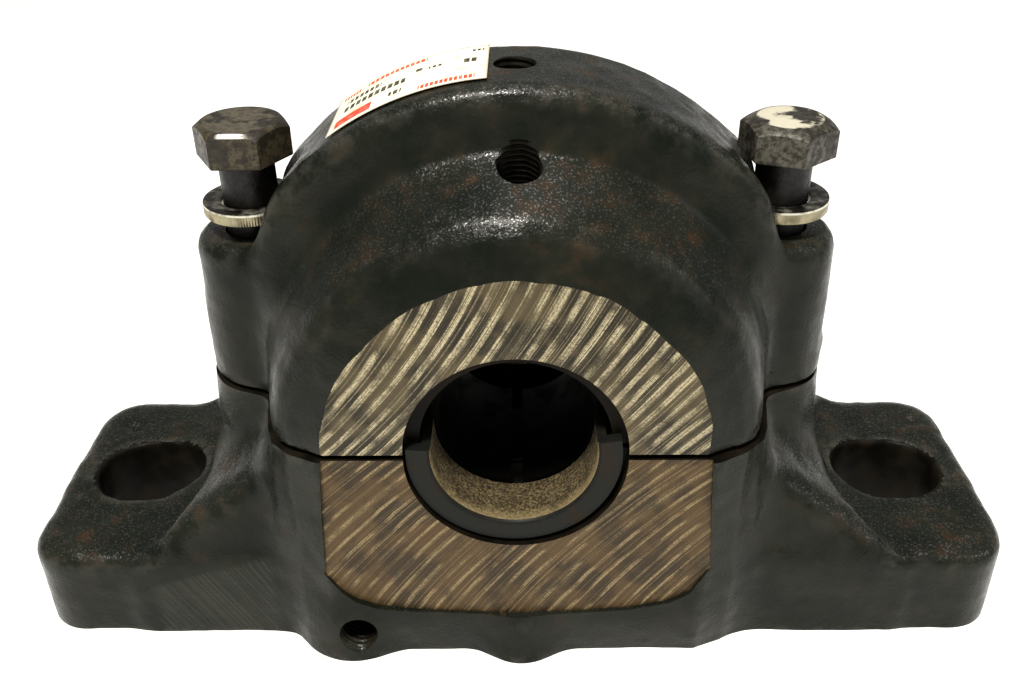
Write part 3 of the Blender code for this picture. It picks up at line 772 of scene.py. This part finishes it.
# %% Shape of the cap
DOME = [(-20, -20), (74.4, -20), (74.4, 13.4), (73.5, 15.4), (70.8, 17.0), (65.0, 18.2), (61.8, 19.4),
        (59.9, 22.0), (57.8, 27.0), (55.8, 32.2), (53.9, 35.4), (50.9, 37.9), (43.3, END_FACE),
        (40.6, 42.9), (-20, 42.9)]


def left_squeeze(x, z):
    """The left half of the dome came out of its mould narrower, by up to a twentieth higher up."""
    return 1.0 + 0.05 * (x < 0) * np.clip((z - CAP_AXIS - 6.0) / 28.0, 0, 1)


def cap_distance(x, y, z):
    """Distance to the rough cap: the turned dome, cut flat at the sides, melted with the lugs."""
    side = np.abs(x)
    radius = np.hypot(x * left_squeeze(x, z), z - CAP_AXIS)
    dome = outline_distance(radius, np.abs(y) + 0 * radius, DOME)
    below = outline_distance(side + 0 * z, np.abs(y) + 0 * x, DOME) + 0 * z
    dome = np.where(z + 0 * dome < CAP_AXIS, below, dome)
    dome = both(dome, side - SIDE + 0 * dome, 7.0)
    lug = np.hypot(side - BOLT_X, y) - (14.0 + 0.6 * np.clip((LUG_TOP - z) / 36.0, 0, 1))
    lug = both(lug, z - LUG_TOP - 0.8 + 0 * lug, 5.5)
    rough = melt(dome, lug, 5.0)
    flash = ((x - 74.6) / 1.7) ** 2 + ((y + 1.0) / 3.4) ** 2 + ((z - 67.2) / 3.2) ** 2
    flash = np.sqrt(flash) * 1.7 - 1.7
    rough = melt(rough, flash, 0.8)
    return both(rough, CAP_AXIS - 1.7 - z + 0 * rough, 2.2)


CAP_START = (-80.0, -47.0, CAP_AXIS - 5.0)
grid = lattice(CAP_START, (80.0, 47.0, CAP_AXIS + 79.0), PITCH)
CAP_FIELD = cap_distance(*grid)
under_label = (grid[2] > 110) & (np.hypot(grid[0], grid[2] - CAP_AXIS) > 71)
under_label = under_label & (grid[0] < -3) & (grid[0] > -46)
CAP_FIELD = CAP_FIELD + skin_noise(*np.broadcast_arrays(*grid), 29) * (1.0 - 0.85 * under_label)
cap_points, cap_faces = surface(CAP_FIELD, CAP_START, PITCH)
CAP = put("cap_casting", cap_points, cap_faces)
print("the rough cap has", len(cap_faces), "faces")

# %% Machine the cap
TILT = math.radians(16.0)
MOUTH = np.array([1.0, -22.0, 119.9])
INWARD = np.array([0.0, math.sin(TILT), -math.cos(TILT)])
cap_cutters = [slab("cap_split", (-200, -100, 30), (200, 100, CAP_AXIS)), bore_cutter("cap_bore", CAP_AXIS),
               slab("front_face", (-60, -60, 50), (60, -END_FACE, 120)),
               slab("rear_face", (-60, END_FACE, 50), (60, 60, 120)),
               turned("grease_room", [(62, 6), (40, 6), (40, -6), (62, -6)], axis=(0.0, CAP_AXIS),
                      start=-34.0, stop=34.0, edge=1.0),
               rod("top_port", 4.9, (0, 0, 112), (0, 0, 150), pitch=1.4, depth=0.4),
               rod("shoulder_port", 5.15, MOUTH + 24 * INWARD, MOUTH - 12 * INWARD, pitch=1.4,
                   depth=0.6, detail=8)]
for x in (-BOLT_X, BOLT_X):
    cap_cutters += [rod("spot_face", 13.4, (x, 0, LUG_TOP), (x, 0, 160)),
                    rod("bolt_hole", 7.0, (x, 0, 50), (x, 0, 110))]
cap_cutters += dowel_cutters(50.0, 73.0)
machine(CAP, cap_cutters)


def spot_faces(centre):
    """The spot faces were painted over, so they count as painted skin."""
    return (centre[:, 2] > LUG_TOP - 0.5) & (np.abs(centre[:, 0]) > 40.0)


dress(CAP, CAP_FIELD, CAP_START, PITCH, (PAINT, MILLED_CAP, BORE_AND_SLOT_SHADE), spot_faces, nowhere)
hand_in(CAP, "cap", ["housing_cap"])

# %% [markdown]
# ## Metal finishes
#
# Bare metal parts differ in colour, in gloss and in how dirty they are.  One recipe covers them:
# a clean colour, a dirty colour, clouds that choose between them, and fine turning lines.

# %% A recipe for bare metal
def bare_metal(name, clean, dirty, gloss, dirt=(0.42, 0.66), size=6.0, metallic=0.85, specular=0.5):
    """Metal with clouds of dirt size millimetres wide and turning lines along y.
    Gloss is the roughness of the clean and of the dirty places."""
    metal = Finish(name, specular=specular)
    cloud = metal.noise(size, 5.0, roughness=0.62)
    grain = metal.lines(metal.y, 0.35, 2.0)
    pits = metal.noise(0.7, 2.0)
    colour = metal.mix(metal.stretch(cloud, *dirt), clean, dirty)
    colour = metal.mix(metal.stretch(pits, 0.60, 0.72, 0.0, 0.5), colour, dirty)
    return metal.coat(colour, metal.stretch(cloud, *dirt, *gloss),
                      ((grain, 0.2, 0.05), (pits, 0.3, 0.08)), metallic=metallic)


RING_STEEL = bare_metal("bearing_steel", (0.16, 0.15, 0.13), (0.030, 0.022, 0.012), (0.18, 0.42))
ROLLER_STEEL = bare_metal("roller_steel", (0.50, 0.49, 0.46), (0.10, 0.08, 0.05), (0.12, 0.32),
                          dirt=(0.5, 0.72), size=3.0)
BRASS = bare_metal("cage_brass", (0.50, 0.34, 0.12), (0.13, 0.075, 0.028), (0.25, 0.5), size=4.0)
# Dark steel for the nut, the tab washer, the locating rings and the dowels, kept near black partly as painted
# shade inside the housing.
DARK_STEEL_AND_SHADE = bare_metal("dark_steel_and_shade", (0.014, 0.012, 0.010), (0.005, 0.004, 0.003), (0.45, 0.65),
                        metallic=0.0, specular=0.08)
# Near black with almost no specular: painted shade for the sleeve and the inner ring's bore deep inside the
# housing.
SHADE_BLACK = bare_metal("painted_shade_black", (0.0020, 0.0018, 0.0015), (0.0010, 0.0009, 0.0007),
                          (0.55, 0.75), metallic=0.0, specular=0.02)
LINER_SKIN = bare_metal("liner_skin", (0.0070, 0.0078, 0.0068), (0.016, 0.011, 0.006), (0.45, 0.65),
                        dirt=(0.50, 0.70), size=8.0, metallic=0.0, specular=0.12)
print("made six metals")

# %% [markdown]
# ## The cap bolts
#
# A bolt head is a hexagon whose corners are turned off by a cone.  The head's edge radius at
# angle t is the flat's distance divided by cos(t mod 60 - 30 degrees), and the cone lowers the
# top edge in proportion to how far that radius passes the round face on top.  The bolt is one
# grid: each row is a ring round the bolt, from the middle of the head down to the shank's end.

# %% Bolt finish
HEAD_HEIGHT, HEAD_FLAT, SHANK_R, THREAD_PITCH = 8.3, 9.53, 6.35, 1.954


def bolt_metal(name, x, shine, disc, disc_radius, nick_highlight=None):
    """Brown-black steel.  disc lights the worn round face on top, and the last argument puts a near-white
    painted highlight on one knock on the edge, between two distances from the bolt's axis and in front of a
    third."""
    steel = Finish(name, specular=0.3)
    rust = steel.noise(1.5, 5.0, roughness=0.75)
    cloud = steel.noise(6.0, 3.0)
    grain = steel.noise(0.6, 2.0)
    colour = steel.mix(steel.stretch(rust, 0.40, 0.62), shine, (0.017, 0.013, 0.007))
    colour = steel.mix(steel.stretch(cloud, 0.48, 0.62, 0.0, 0.75), colour, (0.010, 0.008, 0.005))
    dx = steel.maths("SUBTRACT", steel.x, x)
    reach = steel.maths("MULTIPLY_ADD", dx, dx, steel.product(steel.y, steel.y))
    reach = steel.maths("SQRT", reach)
    worn = steel.product(steel.stretch(reach, disc_radius, disc_radius - 0.5),
                         steel.stretch(steel.z, HEAD_TOP - 0.25, HEAD_TOP - 0.08),
                         steel.stretch(cloud, 0.60, 0.50), disc)
    colour = steel.mix(worn, colour, (0.56, 0.52, 0.41))
    # The knock is coloured near white as a painted highlight.
    if nick_highlight:
        low, high, front = nick_highlight
        edge = steel.product(steel.stretch(dx, low, low + 1.6), steel.stretch(dx, high, high - 1.8),
                             steel.stretch(steel.y, front, front - 0.3),
                             steel.stretch(steel.z, HEAD_TOP - 1.0, HEAD_TOP - 0.7),
                             steel.stretch(grain, 0.30, 0.42))
        colour = steel.mix(edge, colour, (0.86, 0.84, 0.78))
    # Below its head the bolt is near black: painted shade under the head and the washer.
    under_head = HEAD_TOP - HEAD_HEIGHT
    head = steel.stretch(steel.z, under_head - 0.1, under_head + 0.2)
    colour = steel.mix(head, (0.0035, 0.0030, 0.0026), colour)
    return steel.coat(colour, steel.stretch(rust, 0.3, 0.7, 0.30, 0.58),
                      ((rust, 0.5, 0.30), (grain, 0.5, 0.08)), metallic=0.1)


# %% Bolt shape
def cap_bolt(name, x, spin, face_radius, slope, material):
    """One bolt as a grid of rings.  Rows of the shank's lower part carry a helical thread."""
    t = np.arange(96) * 2 * np.pi / 96
    corner = HEAD_FLAT / np.cos(t % (np.pi / 3) - np.pi / 6)
    end, head = float(BOLT_LOW[2]), HEAD_TOP - HEAD_HEIGHT
    drop = np.maximum(corner - face_radius, 0.0) * slope
    rings = [(0.0, HEAD_TOP), (face_radius * 0.7, HEAD_TOP), (face_radius - 0.2, HEAD_TOP),
             (np.minimum(corner, face_radius + 0.1), HEAD_TOP - 0.06),
             (corner - 0.14, HEAD_TOP - drop), (corner, HEAD_TOP - drop - 0.2),
             (corner, head + 0.35), (corner - 0.3, head + 0.05), (9.2, head + 0.05), (9.1, head),
             (6.9, head), (SHANK_R, head - 0.6)]
    thread_top = head - 38.0
    for z in np.arange(thread_top, end + 1.2, -THREAD_PITCH / 6):
        depth = 0.85 * np.clip((thread_top - z) / THREAD_PITCH, 0, 1)
        groove = np.abs(((z / THREAD_PITCH - t / (2 * np.pi)) % 1.0) * 2 - 1)
        rings.append((SHANK_R - depth * groove, z))
    rings += [(5.3, end + 0.2), (5.0, end), (0.0, end)]
    radius, z = (np.array([value + 0 * t for value in part]) for part in zip(*rings))
    turn = t + spin
    points = np.stack([x + radius * np.cos(turn), radius * np.sin(turn), z], -1)
    faces = quads(len(rings), len(t), False, True)
    return put(name, points.reshape(-1, 3), faces, material, sharp=28.0)


LEFT_METAL = bolt_metal("left_bolt_steel", -BOLT_X, (0.058, 0.046, 0.026), 0.05, 8.6, (-3.8, 3.4, -8.6))
RIGHT_METAL = bolt_metal("right_bolt_steel", BOLT_X, (0.085, 0.080, 0.062), 1.0, 7.6)
BOLTS = (("left", cap_bolt("left_cap_bolt", -BOLT_X, 0.0, 9.05, 0.72, LEFT_METAL)),
         ("right", cap_bolt("right_cap_bolt", BOLT_X, math.radians(-20.0), 7.75, 0.56, RIGHT_METAL)))
for side_name, bolt in BOLTS:
    hand_in(bolt, side_name + "_bolt", ["cap_bolt_" + side_name])
    print(bolt.name, "has", len(bolt.data.polygons), "faces")

# %% [markdown]
# ## Spring washers
#
# A spring washer is a bar of nearly square section wound once and cut, so one end stands a
# little higher.  The left one has fine notches round its lower rim.

# %% Washers
WASHER_BOTTOM, WASHER_TOP = float(WASHER_LOW[2]), float(WASHER_HIGH[2])


def spring_metal():
    """Pale steel with a painted highlight along the rim's top edge and a darker top face."""
    steel = Finish("spring_steel")
    cloud = steel.noise(3.5, 4.0)
    grain = steel.noise(0.5, 2.0)
    clean = steel.mix(steel.stretch(cloud, 0.4, 0.7), (0.30, 0.27, 0.175), (0.13, 0.11, 0.062))
    # rim paints a near-white highlight along the top edge of the rim.
    rim = steel.product(steel.stretch(steel.z, WASHER_TOP - 0.75, WASHER_TOP - 0.35),
                        steel.stretch(cloud, 0.35, 0.5))
    clean = steel.mix(rim, clean, (0.80, 0.78, 0.66))
    top = steel.product(steel.stretch(steel.facing_up(), 0.6, 0.95),
                        steel.stretch(cloud, 0.70, 0.42, 0.6, 1.0))
    colour = steel.mix(top, clean, (0.016, 0.013, 0.009))
    return steel.coat(colour, steel.stretch(cloud, 0.3, 0.7, 0.28, 0.46), ((grain, 0.35, 0.06),),
                      metallic=0.8)


def spring_washer(name, x, notches, rise, material):
    """Section points (r, z) carried round angle t, lifted by rise (t / full turn - 1/2)."""
    low, high = WASHER_BOTTOM, WASHER_TOP
    outer, inner = 11.1, 6.95
    section = soften([(outer, high), (inner, high - 0.25), (inner, low + 0.2), (outer, low),
                      (outer, low + 1.2)], 0.35)
    t = np.radians(np.linspace(94.0, 446.0, 433))[:, None]
    radius = section[:, 0][None]
    z = section[:, 1][None] + rise * ((t - t[0]) / (2 * np.pi) - 0.5)
    tooth = np.abs((t * notches / (2 * np.pi)) % 1.0 - 0.5) * 2 if notches else 0.0
    rim = (section[:, 0] > outer - 0.5) & (section[:, 1] < low + 1.5)
    radius = radius - 0.22 * tooth * rim[None] + 0 * t
    points = np.stack([x + radius * np.cos(t), radius * np.sin(t), z], -1)
    return put(name, points.reshape(-1, 3), tube(len(t), len(section)), material, sharp=30.0)


WASHER_METAL = spring_metal()
for side_name, sign, notches in (("left", -1, 108), ("right", 1, 0)):
    washer = spring_washer(side_name + "_spring_washer", sign * BOLT_X, notches, 0.4, WASHER_METAL)
    hand_in(washer, side_name + "_washer", ["lock_washer_" + side_name])
print("washers stand between", WASHER_BOTTOM, "and", WASHER_TOP)

# %% [markdown]
# ## Seal liners
#
# Each end has a flanged iron liner, cut in halves, that carries the felt.  In front only the lower
# half is left.  It has slipped round a little, so its right end stands higher than its left.  The
# old felt glue makes the inside rough and pale, and a painted highlight makes its front rim and its
# right side paler still.

# %% Liner finishes and halves
def felt_skin():
    felt = Finish("liner_inside", specular=0.2)
    crumbs = felt.noise(0.65, 4.0, roughness=0.7)
    cloud = felt.noise(5.0, 3.0)
    # rim and right are painted light: the felt is paler towards its front rim and paler still on its right
    # side.
    rim = felt.stretch(felt.y, -36.0, -40.2, 0.0, 0.6)
    right = felt.stretch(felt.x, 6.0, 19.0, 0.0, 0.5)
    rim = felt.maths("MULTIPLY_ADD", rim, right, rim)
    pale = felt.maths("ADD", rim, felt.stretch(crumbs, 0.38, 0.70))
    colour = felt.mix(pale, (0.022, 0.015, 0.007), (0.235, 0.180, 0.088))
    colour = felt.mix(felt.stretch(cloud, 0.46, 0.66, 0.0, 0.5), colour, (0.028, 0.019, 0.010))
    return felt.coat(colour, 0.85, ((crumbs, 0.9, 0.7),))


FELT = felt_skin()
LINER_IN_R = 18.7
LINER = [(24.2, -40.6), (24.2, -37.7), (20.9, -37.7), (20.9, -26.8), (LINER_IN_R, -26.8),
         (LINER_IN_R, -39.6), (19.5, -40.6)]
REAR_LINER = [(radius, -y) for radius, y in LINER]


def liner(name, outline, axis, start, stop, node, body):
    piece = turned(name, outline, LINER_SKIN, axis, start=start, stop=stop, edge=0.3, steps=180)
    piece.data.materials.append(FELT)
    centre, _ = faces_of(piece.data)
    inner = np.hypot(centre[:, 0] - axis[0], centre[:, 2] - axis[1]) < LINER_IN_R + 0.3
    piece.data.polygons.foreach_set("material_index", inner.astype(np.int32))
    return hand_in(piece, body, [node])


liner("front_lower_liner", LINER, (-0.4, AXIS + 0.3), 79.5, 274.7, "front_liner_lower", "housing")
liner("rear_lower_liner", REAR_LINER, (0.0, AXIS), 90.0, 270.0, "rear_liner_lower", "housing")
liner("rear_upper_liner", REAR_LINER, (0.0, CAP_AXIS), -90.0, 90.0, "rear_liner_upper", "cap")
print("made three liner halves")

# %% [markdown]
# ## The bearing
#
# Inside are an outer ring with one ball-shaped race, two rows of barrel rollers in brass cages,
# and an inner ring on a slit taper sleeve.  Nearly all of it is hidden until the cap is lifted.
# Each ring is a turned outline, and the rollers of one row are one piece.

# %% Bearing rings
RACE_R, BEARING_HALF, CONTACT = 38.4, 11.5, math.radians(10.0)
ROLLER_R, ROLLER_HALF, ROLLER_COUNT = 5.2, 4.4, 16
ROLLER_CENTRE = RACE_R - ROLLER_R - 0.3


def row_point(along, outward):
    """(radius, y) of a point along a rear roller's axis and outward across it."""
    c, s = math.cos(CONTACT), math.sin(CONTACT)
    return ROLLER_CENTRE * c - along * s + outward * c, ROLLER_CENTRE * s + along * c + outward * s


def roller_radius(along):
    """A barrel: the radius falls with the square of the distance from the middle."""
    return ROLLER_R - along * along / (2.0 * (RACE_R - 1.0))


race_y = np.linspace(-BEARING_HALF, BEARING_HALF, 25)
outer_outline = [(42.5, 11.5), (42.5, 2.2), (41.1, 1.0), (41.1, -1.0), (42.5, -2.2), (42.5, -11.5)]
outer_outline += list(zip(np.sqrt(RACE_R ** 2 - race_y ** 2), race_y))
outer_ring = turned("bearing_outer_ring", outer_outline, RING_STEEL)
hand_in(outer_ring, "housing", ["outer_ring"])

half = [(29.4, 11.5), (29.4, 10.6)]
half += [row_point(a, -roller_radius(min(abs(a), ROLLER_HALF)) - 0.35)
         for a in (4.8, 3.5, 2.2, 1.0, 0.0, -1.0, -2.2, -3.5, -4.6)]
inner_outline = half + [(half[-1][0], -half[-1][1])] + [(r, -y) for r, y in reversed(half)][1:]
inner_outline += [(22.5, -11.5), (23.45833, 11.5)]
inner_ring = turned("bearing_inner_ring", inner_outline, RING_STEEL)
# The inner ring's bore faces get the near-black painted shade.
inner_ring.data.materials.append(SHADE_BLACK)
middles, _ = faces_of(inner_ring.data)
in_bore = np.hypot(middles[:, 0], middles[:, 2] - AXIS) < 24.0
inner_ring.data.polygons.foreach_set("material_index", in_bore.astype(np.int32))
hand_in(inner_ring, "shaft_set", ["inner_ring"])

guide_outline = [(34.2, 1.15), (34.2, -1.15), (29.4, -0.4), (29.4, 0.4)]
guide_ring = turned("loose_guide_ring", guide_outline, RING_STEEL, edge=0.15)
hand_in(guide_ring, "aligner", ["guide_ring"])
print("made three rings")


# %% Rollers
def frame_of(row, number):
    """Outward direction and own axis of one roller, numbered round the row."""
    angle = 2 * np.pi * (np.asarray(number) + (0.0 if row > 0 else 0.5)) / ROLLER_COUNT
    out = np.stack([np.sin(angle), 0 * angle, np.cos(angle)], -1)
    axis = np.array([0.0, row * math.cos(CONTACT), 0.0]) - math.sin(CONTACT) * out
    return angle, out, axis


def roller_row(name, row):
    """Ring j of a roller has radius r(s) at distance s along its axis, and roller k sits at angle
    k (or k + 1/2) sixteenths of a turn."""
    s = np.array([-4.4, -4.4, -4.15, -3.0, -1.5, 0.0, 1.5, 3.0, 4.15, 4.4, 4.4])
    r = roller_radius(s)
    r[[0, -1]], r[[1, -2]] = 0.0, r[1] - 0.3
    a = np.arange(20) * 2 * np.pi / 20
    angle, out, axis = frame_of(row, np.arange(ROLLER_COUNT))
    aside = np.stack([np.cos(angle), 0 * angle, -np.sin(angle)], -1)
    across = np.cross(axis, aside)
    radius, y = row_point(0.0, 0.0)
    centre = out * radius + np.array([0.0, row * y, AXIS])
    around = (np.cos(a)[None, None, :, None] * aside[:, None, None]
              + np.sin(a)[None, None, :, None] * across[:, None, None])
    points = (centre[:, None, None] + s[None, :, None, None] * axis[:, None, None]
              + r[None, :, None, None] * around)
    one = quads(len(s), len(a), False, True)
    first = np.arange(ROLLER_COUNT) * len(s) * len(a)
    faces = (one[None] + first[:, None, None]).reshape(-1, 4)
    return put(name, points.reshape(-1, 3), faces, ROLLER_STEEL)


ROWS = ((-1, "front"), (1, "rear"))
for row, row_name in ROWS:
    nodes = [f"roller_{row_name}_{k + 1:02d}" for k in range(ROLLER_COUNT)]
    hand_in(roller_row(row_name + "_rollers", row), "roller_set", nodes)
print("made two rows of", ROLLER_COUNT, "rollers")

# %% [markdown]
# A comb cage is a turned brass ring with a round pocket drilled for each roller.

# %% Cages
def cage(name, row):
    """The side walls follow the rollers' axes, which lean by the contact angle."""
    low, middle = row_point(0.0, 0.0)
    slope = math.tan(CONTACT)
    far, near = BEARING_HALF - 0.15, 2.6
    outline = [(low - (far - middle) * slope + 1.5, far), (low - (near - middle) * slope + 1.3, near),
               (low - (near - middle) * slope - 1.3, near), (low - (far - middle) * slope - 1.3, far)]
    made = turned(name, [(r, row * y) for r, y in outline], edge=0.2)
    pockets = []
    for k in range(ROLLER_COUNT):
        _, out, axis = frame_of(row, k)
        centre = out * low + np.array([0.0, row * middle, AXIS])
        pockets.append(rod("pocket", ROLLER_R + 0.35, centre - 12.0 * axis, centre + 4.75 * axis, steps=32))
    return machine(made, pockets, BRASS)


for row, row_name in ROWS:
    made = cage(row_name + "_comb_cage", row)
    hand_in(made, "roller_set", ["cage_" + row_name])
    print(made.name, "has", len(made.data.polygons), "faces")

# %% [markdown]
# ## Sleeve, tab washer, nut and locating rings
#
# The taper sleeve is a turned wall with a slit left open.  The nut draws it through the inner
# ring.  In the real housing one tooth is bent into a slot of the nut, but here the tab washer is drawn flat.

# %% Sleeve, nut and rings
SHAFT_R, SLIT_HALF = 18.25, math.degrees(1.5 / 20.0)


def sleeve_outer(y):
    """The taper: the radius grows by 1 in 24 from the ring's front face on."""
    return 22.2 + max(0.0, y + BEARING_HALF) / 24.0


sleeve_outline = [(sleeve_outer(13.5), 13.5), (sleeve_outer(-11.5), -11.5), (22.2, -25.5),
                  (SHAFT_R, -25.5), (SHAFT_R, 13.5)]
# The sleeve gets the near-black painted shade of the bore's inside.
sleeve = turned("taper_sleeve", sleeve_outline, SHADE_BLACK, start=180 + SLIT_HALF,
                stop=540 - SLIT_HALF - 0.001)
hand_in(sleeve, "shaft_set", ["adapter_sleeve"])

nut_outline = [(32.0, -14.9), (32.0, -22.9), (30.8, -24.4), (22.7, -24.4), (22.7, -13.4), (29.0, -13.4)]
nut = turned("sleeve_nut", nut_outline)
notches = []
for k in range(4):
    notch = slab("notch", (-3.2, -27.0, 29.6), (3.2, -12.0, 36.0))
    spin = Matrix.Rotation(math.pi / 2 * k + 0.3, 4, "Y")
    notch.data.transform(Matrix.Translation((0, 0, AXIS * MM)) @ spin)
    notches.append(notch)
hand_in(machine(nut, notches, DARK_STEEL_AND_SHADE), "shaft_set", ["lock_nut"])


def tab_ring(name):
    """A flat ring whose outer edge steps out over each of ten tabs: r = 29 or 32.4 by angle."""
    degrees = np.arange(360.0)
    edge = np.where(np.abs(degrees % 36.0 - 18.0) < 4.8, 32.4, 29.0)
    t = np.radians(degrees)
    rings = [np.stack([r * np.sin(t), np.full_like(t, y), AXIS + r * np.cos(t)], -1)
             for r, y in ((edge, -13.1), (edge, -11.8), (22.5, -11.8), (22.5, -13.1))]
    points = np.stack(rings, 1).reshape(-1, 3)
    return put(name, points, quads(len(t), 4, True, True), DARK_STEEL_AND_SHADE)


hand_in(tab_ring("nut_tab_washer"), "shaft_set", ["tab_washer"])
for sign, end_name in ROWS:
    outline = [(42.5, sign * 14.7), (42.5, sign * 11.8), (38.6, sign * 11.8), (38.6, sign * 14.7)]
    ring = turned(end_name + "_locating_ring", outline, DARK_STEEL_AND_SHADE, start=6.9, stop=353.1)
    hand_in(ring, "housing", ["locating_ring_" + end_name])
for end_name, x, y in DOWELS:
    pin = rod(end_name + "_dowel_pin", 3.0, (x, y, 48.6), (x, y, 69.6), DARK_STEEL_AND_SHADE)
    bevel = pin.modifiers.new("rounded ends", "BEVEL")
    bevel.width, bevel.segments, bevel.limit_method = 0.5 * MM, 3, "ANGLE"
    hand_in(pin, "housing", ["dowel_" + end_name])
print("made sleeve, nut, tab washer, rings and dowels")

# %% [markdown]
# ## The paper label
#
# The label is a strip bent round the barrel band.  Its u runs along the bend and its v across.
# The print is left as plain bars and dashes, because words would say nothing about the part.

# %% Label finish
RED_INK, BLACK_INK = (0.70, 0.055, 0.022), (0.035, 0.030, 0.016)
RED_BARS = ((0.05, 0.30, 0.07, 0.27, 0.0, 1.0), (0.04, 0.17, 0.83, 0.92, 0.022, 0.7),
            (0.22, 0.62, 0.86, 0.95, 0.034, 0.75), (0.60, 0.93, 0.05, 0.15, 0.028, 0.7))
BLACK_BARS = ((0.08, 0.50, 0.42, 0.55, 0.043, 0.72), (0.09, 0.33, 0.63, 0.74, 0.036, 0.7),
              (0.41, 0.49, 0.17, 0.28, 0.040, 0.7), (0.56, 0.60, 0.60, 0.68, 0.0, 1.0),
              (0.64, 0.72, 0.58, 0.64, 0.035, 0.6), (0.85, 0.93, 0.52, 0.64, 0.045, 0.75),
              (0.90, 0.97, 0.84, 0.90, 0.030, 0.6))


def label_paper():
    """Each bar is (u from, u to, v from, v to, length of a dash, share of it that is inked)."""
    paper = Finish("label_paper", specular=0.25)
    uv = paper.node("ShaderNodeTexCoord", {}, {}).outputs["UV"]
    u, v, _ = paper.node("ShaderNodeSeparateXYZ", {}, {0: uv}).outputs

    def bar(u0, u1, v0, v1, dash, share):
        inside = paper.product(paper.maths("GREATER_THAN", u, u0), paper.maths("LESS_THAN", u, u1),
                               paper.maths("GREATER_THAN", v, v0), paper.maths("LESS_THAN", v, v1))
        if not dash:
            return inside
        along = paper.maths("FRACT", paper.maths("DIVIDE", u, dash))
        return paper.product(inside, paper.maths("LESS_THAN", along, share))

    stain = paper.noise(4.0, 5.0, roughness=0.7)
    faded = paper.stretch(paper.noise(1.3, 2.0), 0.34, 0.52, 0.85, 1.0)
    colour = paper.mix(paper.stretch(stain, 0.5, 0.75), (0.80, 0.77, 0.63), (0.50, 0.42, 0.26))
    for ink, bars in ((RED_INK, RED_BARS), (BLACK_INK, BLACK_BARS)):
        for sizes in bars:
            colour = paper.mix(paper.product(bar(*sizes), faded), colour, ink)
    edge = paper.maths("MINIMUM", paper.maths("MINIMUM", u, paper.maths("SUBTRACT", 1.0, u)),
                       paper.maths("MINIMUM", v, paper.maths("SUBTRACT", 1.0, v)))
    colour = paper.mix(paper.stretch(edge, 0.02, 0.0, 0.0, 0.6), colour, (0.40, 0.33, 0.20))
    return paper.coat(colour, 0.6, ((stain, 0.2, 0.2),))


# %% Label shape
LABEL_START, LABEL_SWEEP, LABEL_FRONT, LABEL_WIDTH = -34.5, 30.0, -11.0, 24.0


def curved_label():
    """Point (u, v) sits at angle LABEL_START + LABEL_SWEEP u from the top, just over the dome."""
    columns, rows = 61, 25
    u, v = np.meshgrid(np.linspace(0, 1, columns), np.linspace(0, 1, rows), indexing="ij")
    angle = np.radians(LABEL_START + LABEL_SWEEP * u)
    radius = 74.82 + 0.03 * np.sin(9.0 * u) * np.sin(5.0 * v)
    z = CAP_AXIS + radius * np.cos(angle)
    x = radius * np.sin(angle) / left_squeeze(-1.0, z)
    points = np.stack([x, LABEL_FRONT + LABEL_WIDTH * v, z], -1)
    piece = put("curved_label", points.reshape(-1, 3), quads(columns, rows), label_paper())
    layer = piece.data.uv_layers.new(name="UVMap")
    corner = np.empty(len(piece.data.loops), np.int32)
    piece.data.loops.foreach_get("vertex_index", corner)
    x, y, z = points_of(piece.data)[corner].T
    bend = np.degrees(np.arctan2(x * left_squeeze(-1.0, z), z - CAP_AXIS))
    uv = np.stack([(bend - LABEL_START) / LABEL_SWEEP, (y - LABEL_FRONT) / LABEL_WIDTH], -1)
    layer.data.foreach_set("uv", uv.astype(np.float32).ravel())
    thick = piece.modifiers.new("paper", "SOLIDIFY")
    thick.thickness, thick.offset = 0.18 * MM, 1.0
    return piece


hand_in(curved_label(), "cap", ["paper_label"])
print("made the label")

# %% [markdown]
# ## Light and floor
#
# A small lamp hangs high in front, a little to the left.  It makes the grains of the paint glint
# along each rounded edge.  A wide weak one behind and one on the right soften its shadow.  The
# floor glows a little, so that it stays pale wherever the lamps are weak.

# %% Floor and lamps
def lamp(name, place, target, size, power, colour=(1.0, 1.0, 1.0)):
    made = bpy.data.objects.new(name, bpy.data.lights.new(name, "AREA"))
    made.data.shape, made.data.size = "SQUARE", size
    made.data.energy, made.data.color = power, colour
    made.location = Vector(place)
    made.rotation_euler = (Vector(target) - Vector(place)).to_track_quat("-Z", "Y").to_euler()
    bpy.context.scene.collection.objects.link(made)
    return made


lamp("key", (-0.12, -0.40, 0.98), (0.0, 0.0, 0.06), 0.13, 14.0, (1.0, 0.96, 0.88))
lamp("top", (0.1, 0.30, 1.2), (0.0, 0.0, 0.05), 0.7, 2.5)
lamp("side", (0.9, -0.35, 0.55), (0.0, 0.0, 0.06), 0.5, 1.2)

SKY = (1.0, 0.99, 0.96, 1.0)
WORLD = bpy.data.worlds.new("studio")
bpy.context.scene.world = WORLD
WORLD.use_nodes = True
BACKGROUND = WORLD.node_tree.nodes["Background"]
BACKGROUND.inputs["Color"].default_value = SKY
BACKGROUND.inputs["Strength"].default_value = 0.35

FLOOR_MATERIAL = bpy.data.materials.new("pale_floor")
FLOOR_MATERIAL.use_nodes = True
FLOOR_SHADER = FLOOR_MATERIAL.node_tree.nodes["Principled BSDF"]
for socket, value in (("Base Color", (0.92, 0.915, 0.90, 1.0)), ("Roughness", 0.9),
                      ("Emission Color", SKY), ("Emission Strength", 0.28)):
    FLOOR_SHADER.inputs[socket].default_value = value
FLOOR_HALF = 4000
FLOOR = put("floor", [(-FLOOR_HALF, -FLOOR_HALF, 0), (FLOOR_HALF, -FLOOR_HALF, 0),
                      (FLOOR_HALF, FLOOR_HALF, 0), (-FLOOR_HALF, FLOOR_HALF, 0)],
            [[0, 1, 2, 3]], FLOOR_MATERIAL)
